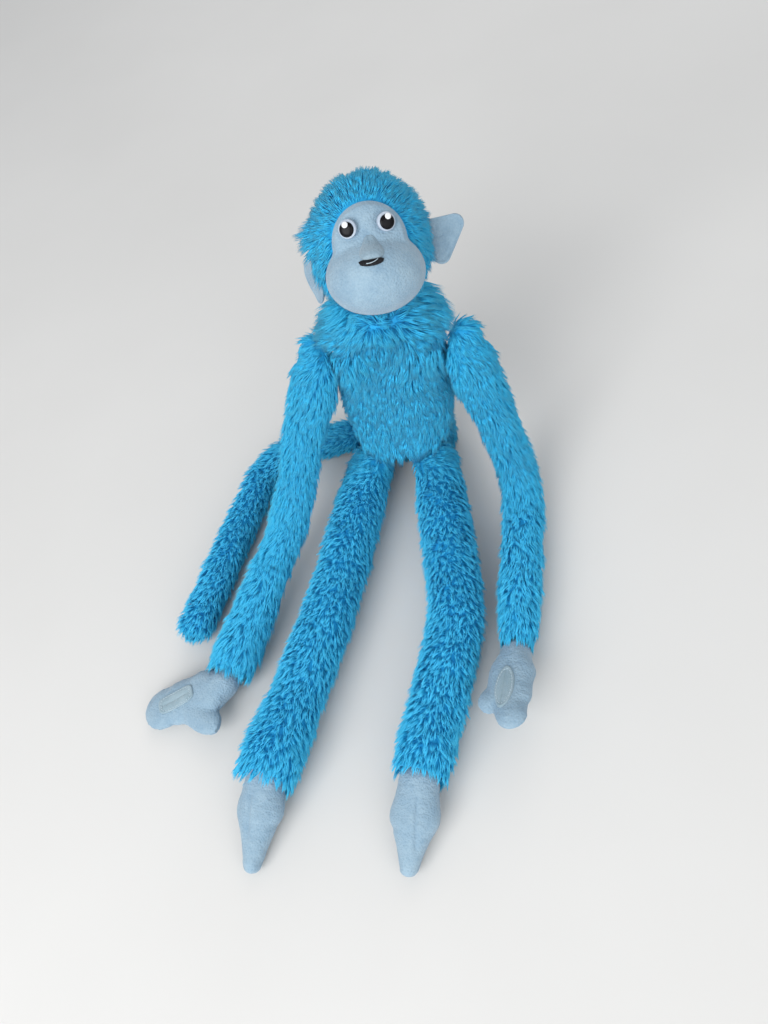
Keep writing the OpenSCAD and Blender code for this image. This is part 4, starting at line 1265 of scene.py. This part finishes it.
def stage():
    size = 1.5
    corners = np.array([(-size, -size, 0), (size, -size, 0), (size, size, 0), (-size, size, 0)])
    floor = plain_object("floor", corners / MM, [(0, 1, 2, 3)], floor_material(), smooth=False)
    aim = Vector((0, -0.06, 0.04))
    for name, place, energy, width in (("key", (-0.35, -0.95, 0.70), 10.5, 0.8),
                                       ("fill", (0.6, -0.85, 0.5), 3.6, 0.9),
                                       ("back", (0.1, 0.9, 0.7), 2.2, 0.8)):
        lamp = new_object(name, bpy.data.lights.new(name, "AREA"))
        lamp.data.energy, lamp.data.size = energy, width
        lamp.location = place
        lamp.rotation_mode = "QUATERNION"
        lamp.rotation_quaternion = (aim - lamp.location).to_track_quat("-Z", "Y")
    world = bpy.data.worlds.new("world")
    bpy.context.scene.world = world
    world.use_nodes = True
    sky = {"Color": (0.93, 0.96, 1.0, 1), "Strength": 0.55}
    feed(world.node_tree, world.node_tree.nodes["Background"], sky)
    bpy.context.scene.view_settings.view_transform = "Standard"


# ---------------------------------------------------------------- image points, as they show
MEASURED = {
    "left_pupil": ("left_pupil_dome", "middle"), "right_pupil": ("right_pupil_dome", "middle"),
    "nose": ("nose_plush", "middle"), "mouth_right_end": ("mouth_stitches", "left"),
    "mouth_middle": ("mouth_stitches", "middle"), "mouth_left_end": ("mouth_stitches", "right"),
    "muzzle_right": ("face_panel_plush", "left"), "muzzle_left": ("face_panel_plush", "right"),
    "muzzle_bottom": ("face_panel_plush", "bottom"), "brow_top": ("face_panel_plush", "top"),
    "left_ear": ("left_ear_plush", "middle"), "right_ear": ("right_ear_plush", "middle"),
    "right_palm": ("right_palm_tape", "middle"), "left_palm": ("left_palm_tape", "middle"),
    "tail_bottom": ("tail_fur_c", "bottom"), "right_hand_bottom": ("right_hand_plush", "bottom"),
}


def vertices_of(piece):
    """A piece's vertices as finished and placed, in metres."""
    points = np.zeros(len(piece.data.vertices) * 3)
    piece.data.vertices.foreach_get("co", points)
    return points.reshape(-1, 3) @ np.array(piece.matrix_world.to_3x3()).T + piece.matrix_world.translation


def seen(piece, most=20000):
    """Image points of those vertices of a piece that nothing hides from the camera."""
    graph = bpy.context.evaluated_depsgraph_get()
    start, clear = Vector(CAMERA_PLACE), 0.0004
    points = vertices_of(piece)
    shown = []
    for point in points[::max(1, len(points) // most)]:
        ray = Vector(point) - start
        hit = bpy.context.scene.ray_cast(graph, start, ray.normalized(), distance=ray.length - clear)[0]
        if not hit:
            shown.append(point)
    return in_view(np.array(shown) / MM)


def write_points():
    """Where each thing shows in the image, at the side or middle that its image point names."""
    shown = [piece for piece in bpy.context.scene.objects if piece.type == "MESH" and not piece.hide_render]
    whole = in_view(np.vstack([vertices_of(piece) for piece in shown]) / MM)
    for name, point in POINTS.items():
        piece, side = MEASURED.get(name, (None, name.replace("edge_", "")))
        places = whole if piece is None else seen(bpy.data.objects[piece])
        low, high = places.min(0), places.max(0)
        if name.startswith("mouth") and side != "middle":
            at = places[places[:, 0].argmin() if side == "left" else places[:, 0].argmax()]
        elif side == "middle":
            at = (low + high) / 2
        else:
            at = low if side in ("left", "top") else high


write_points()
stage()
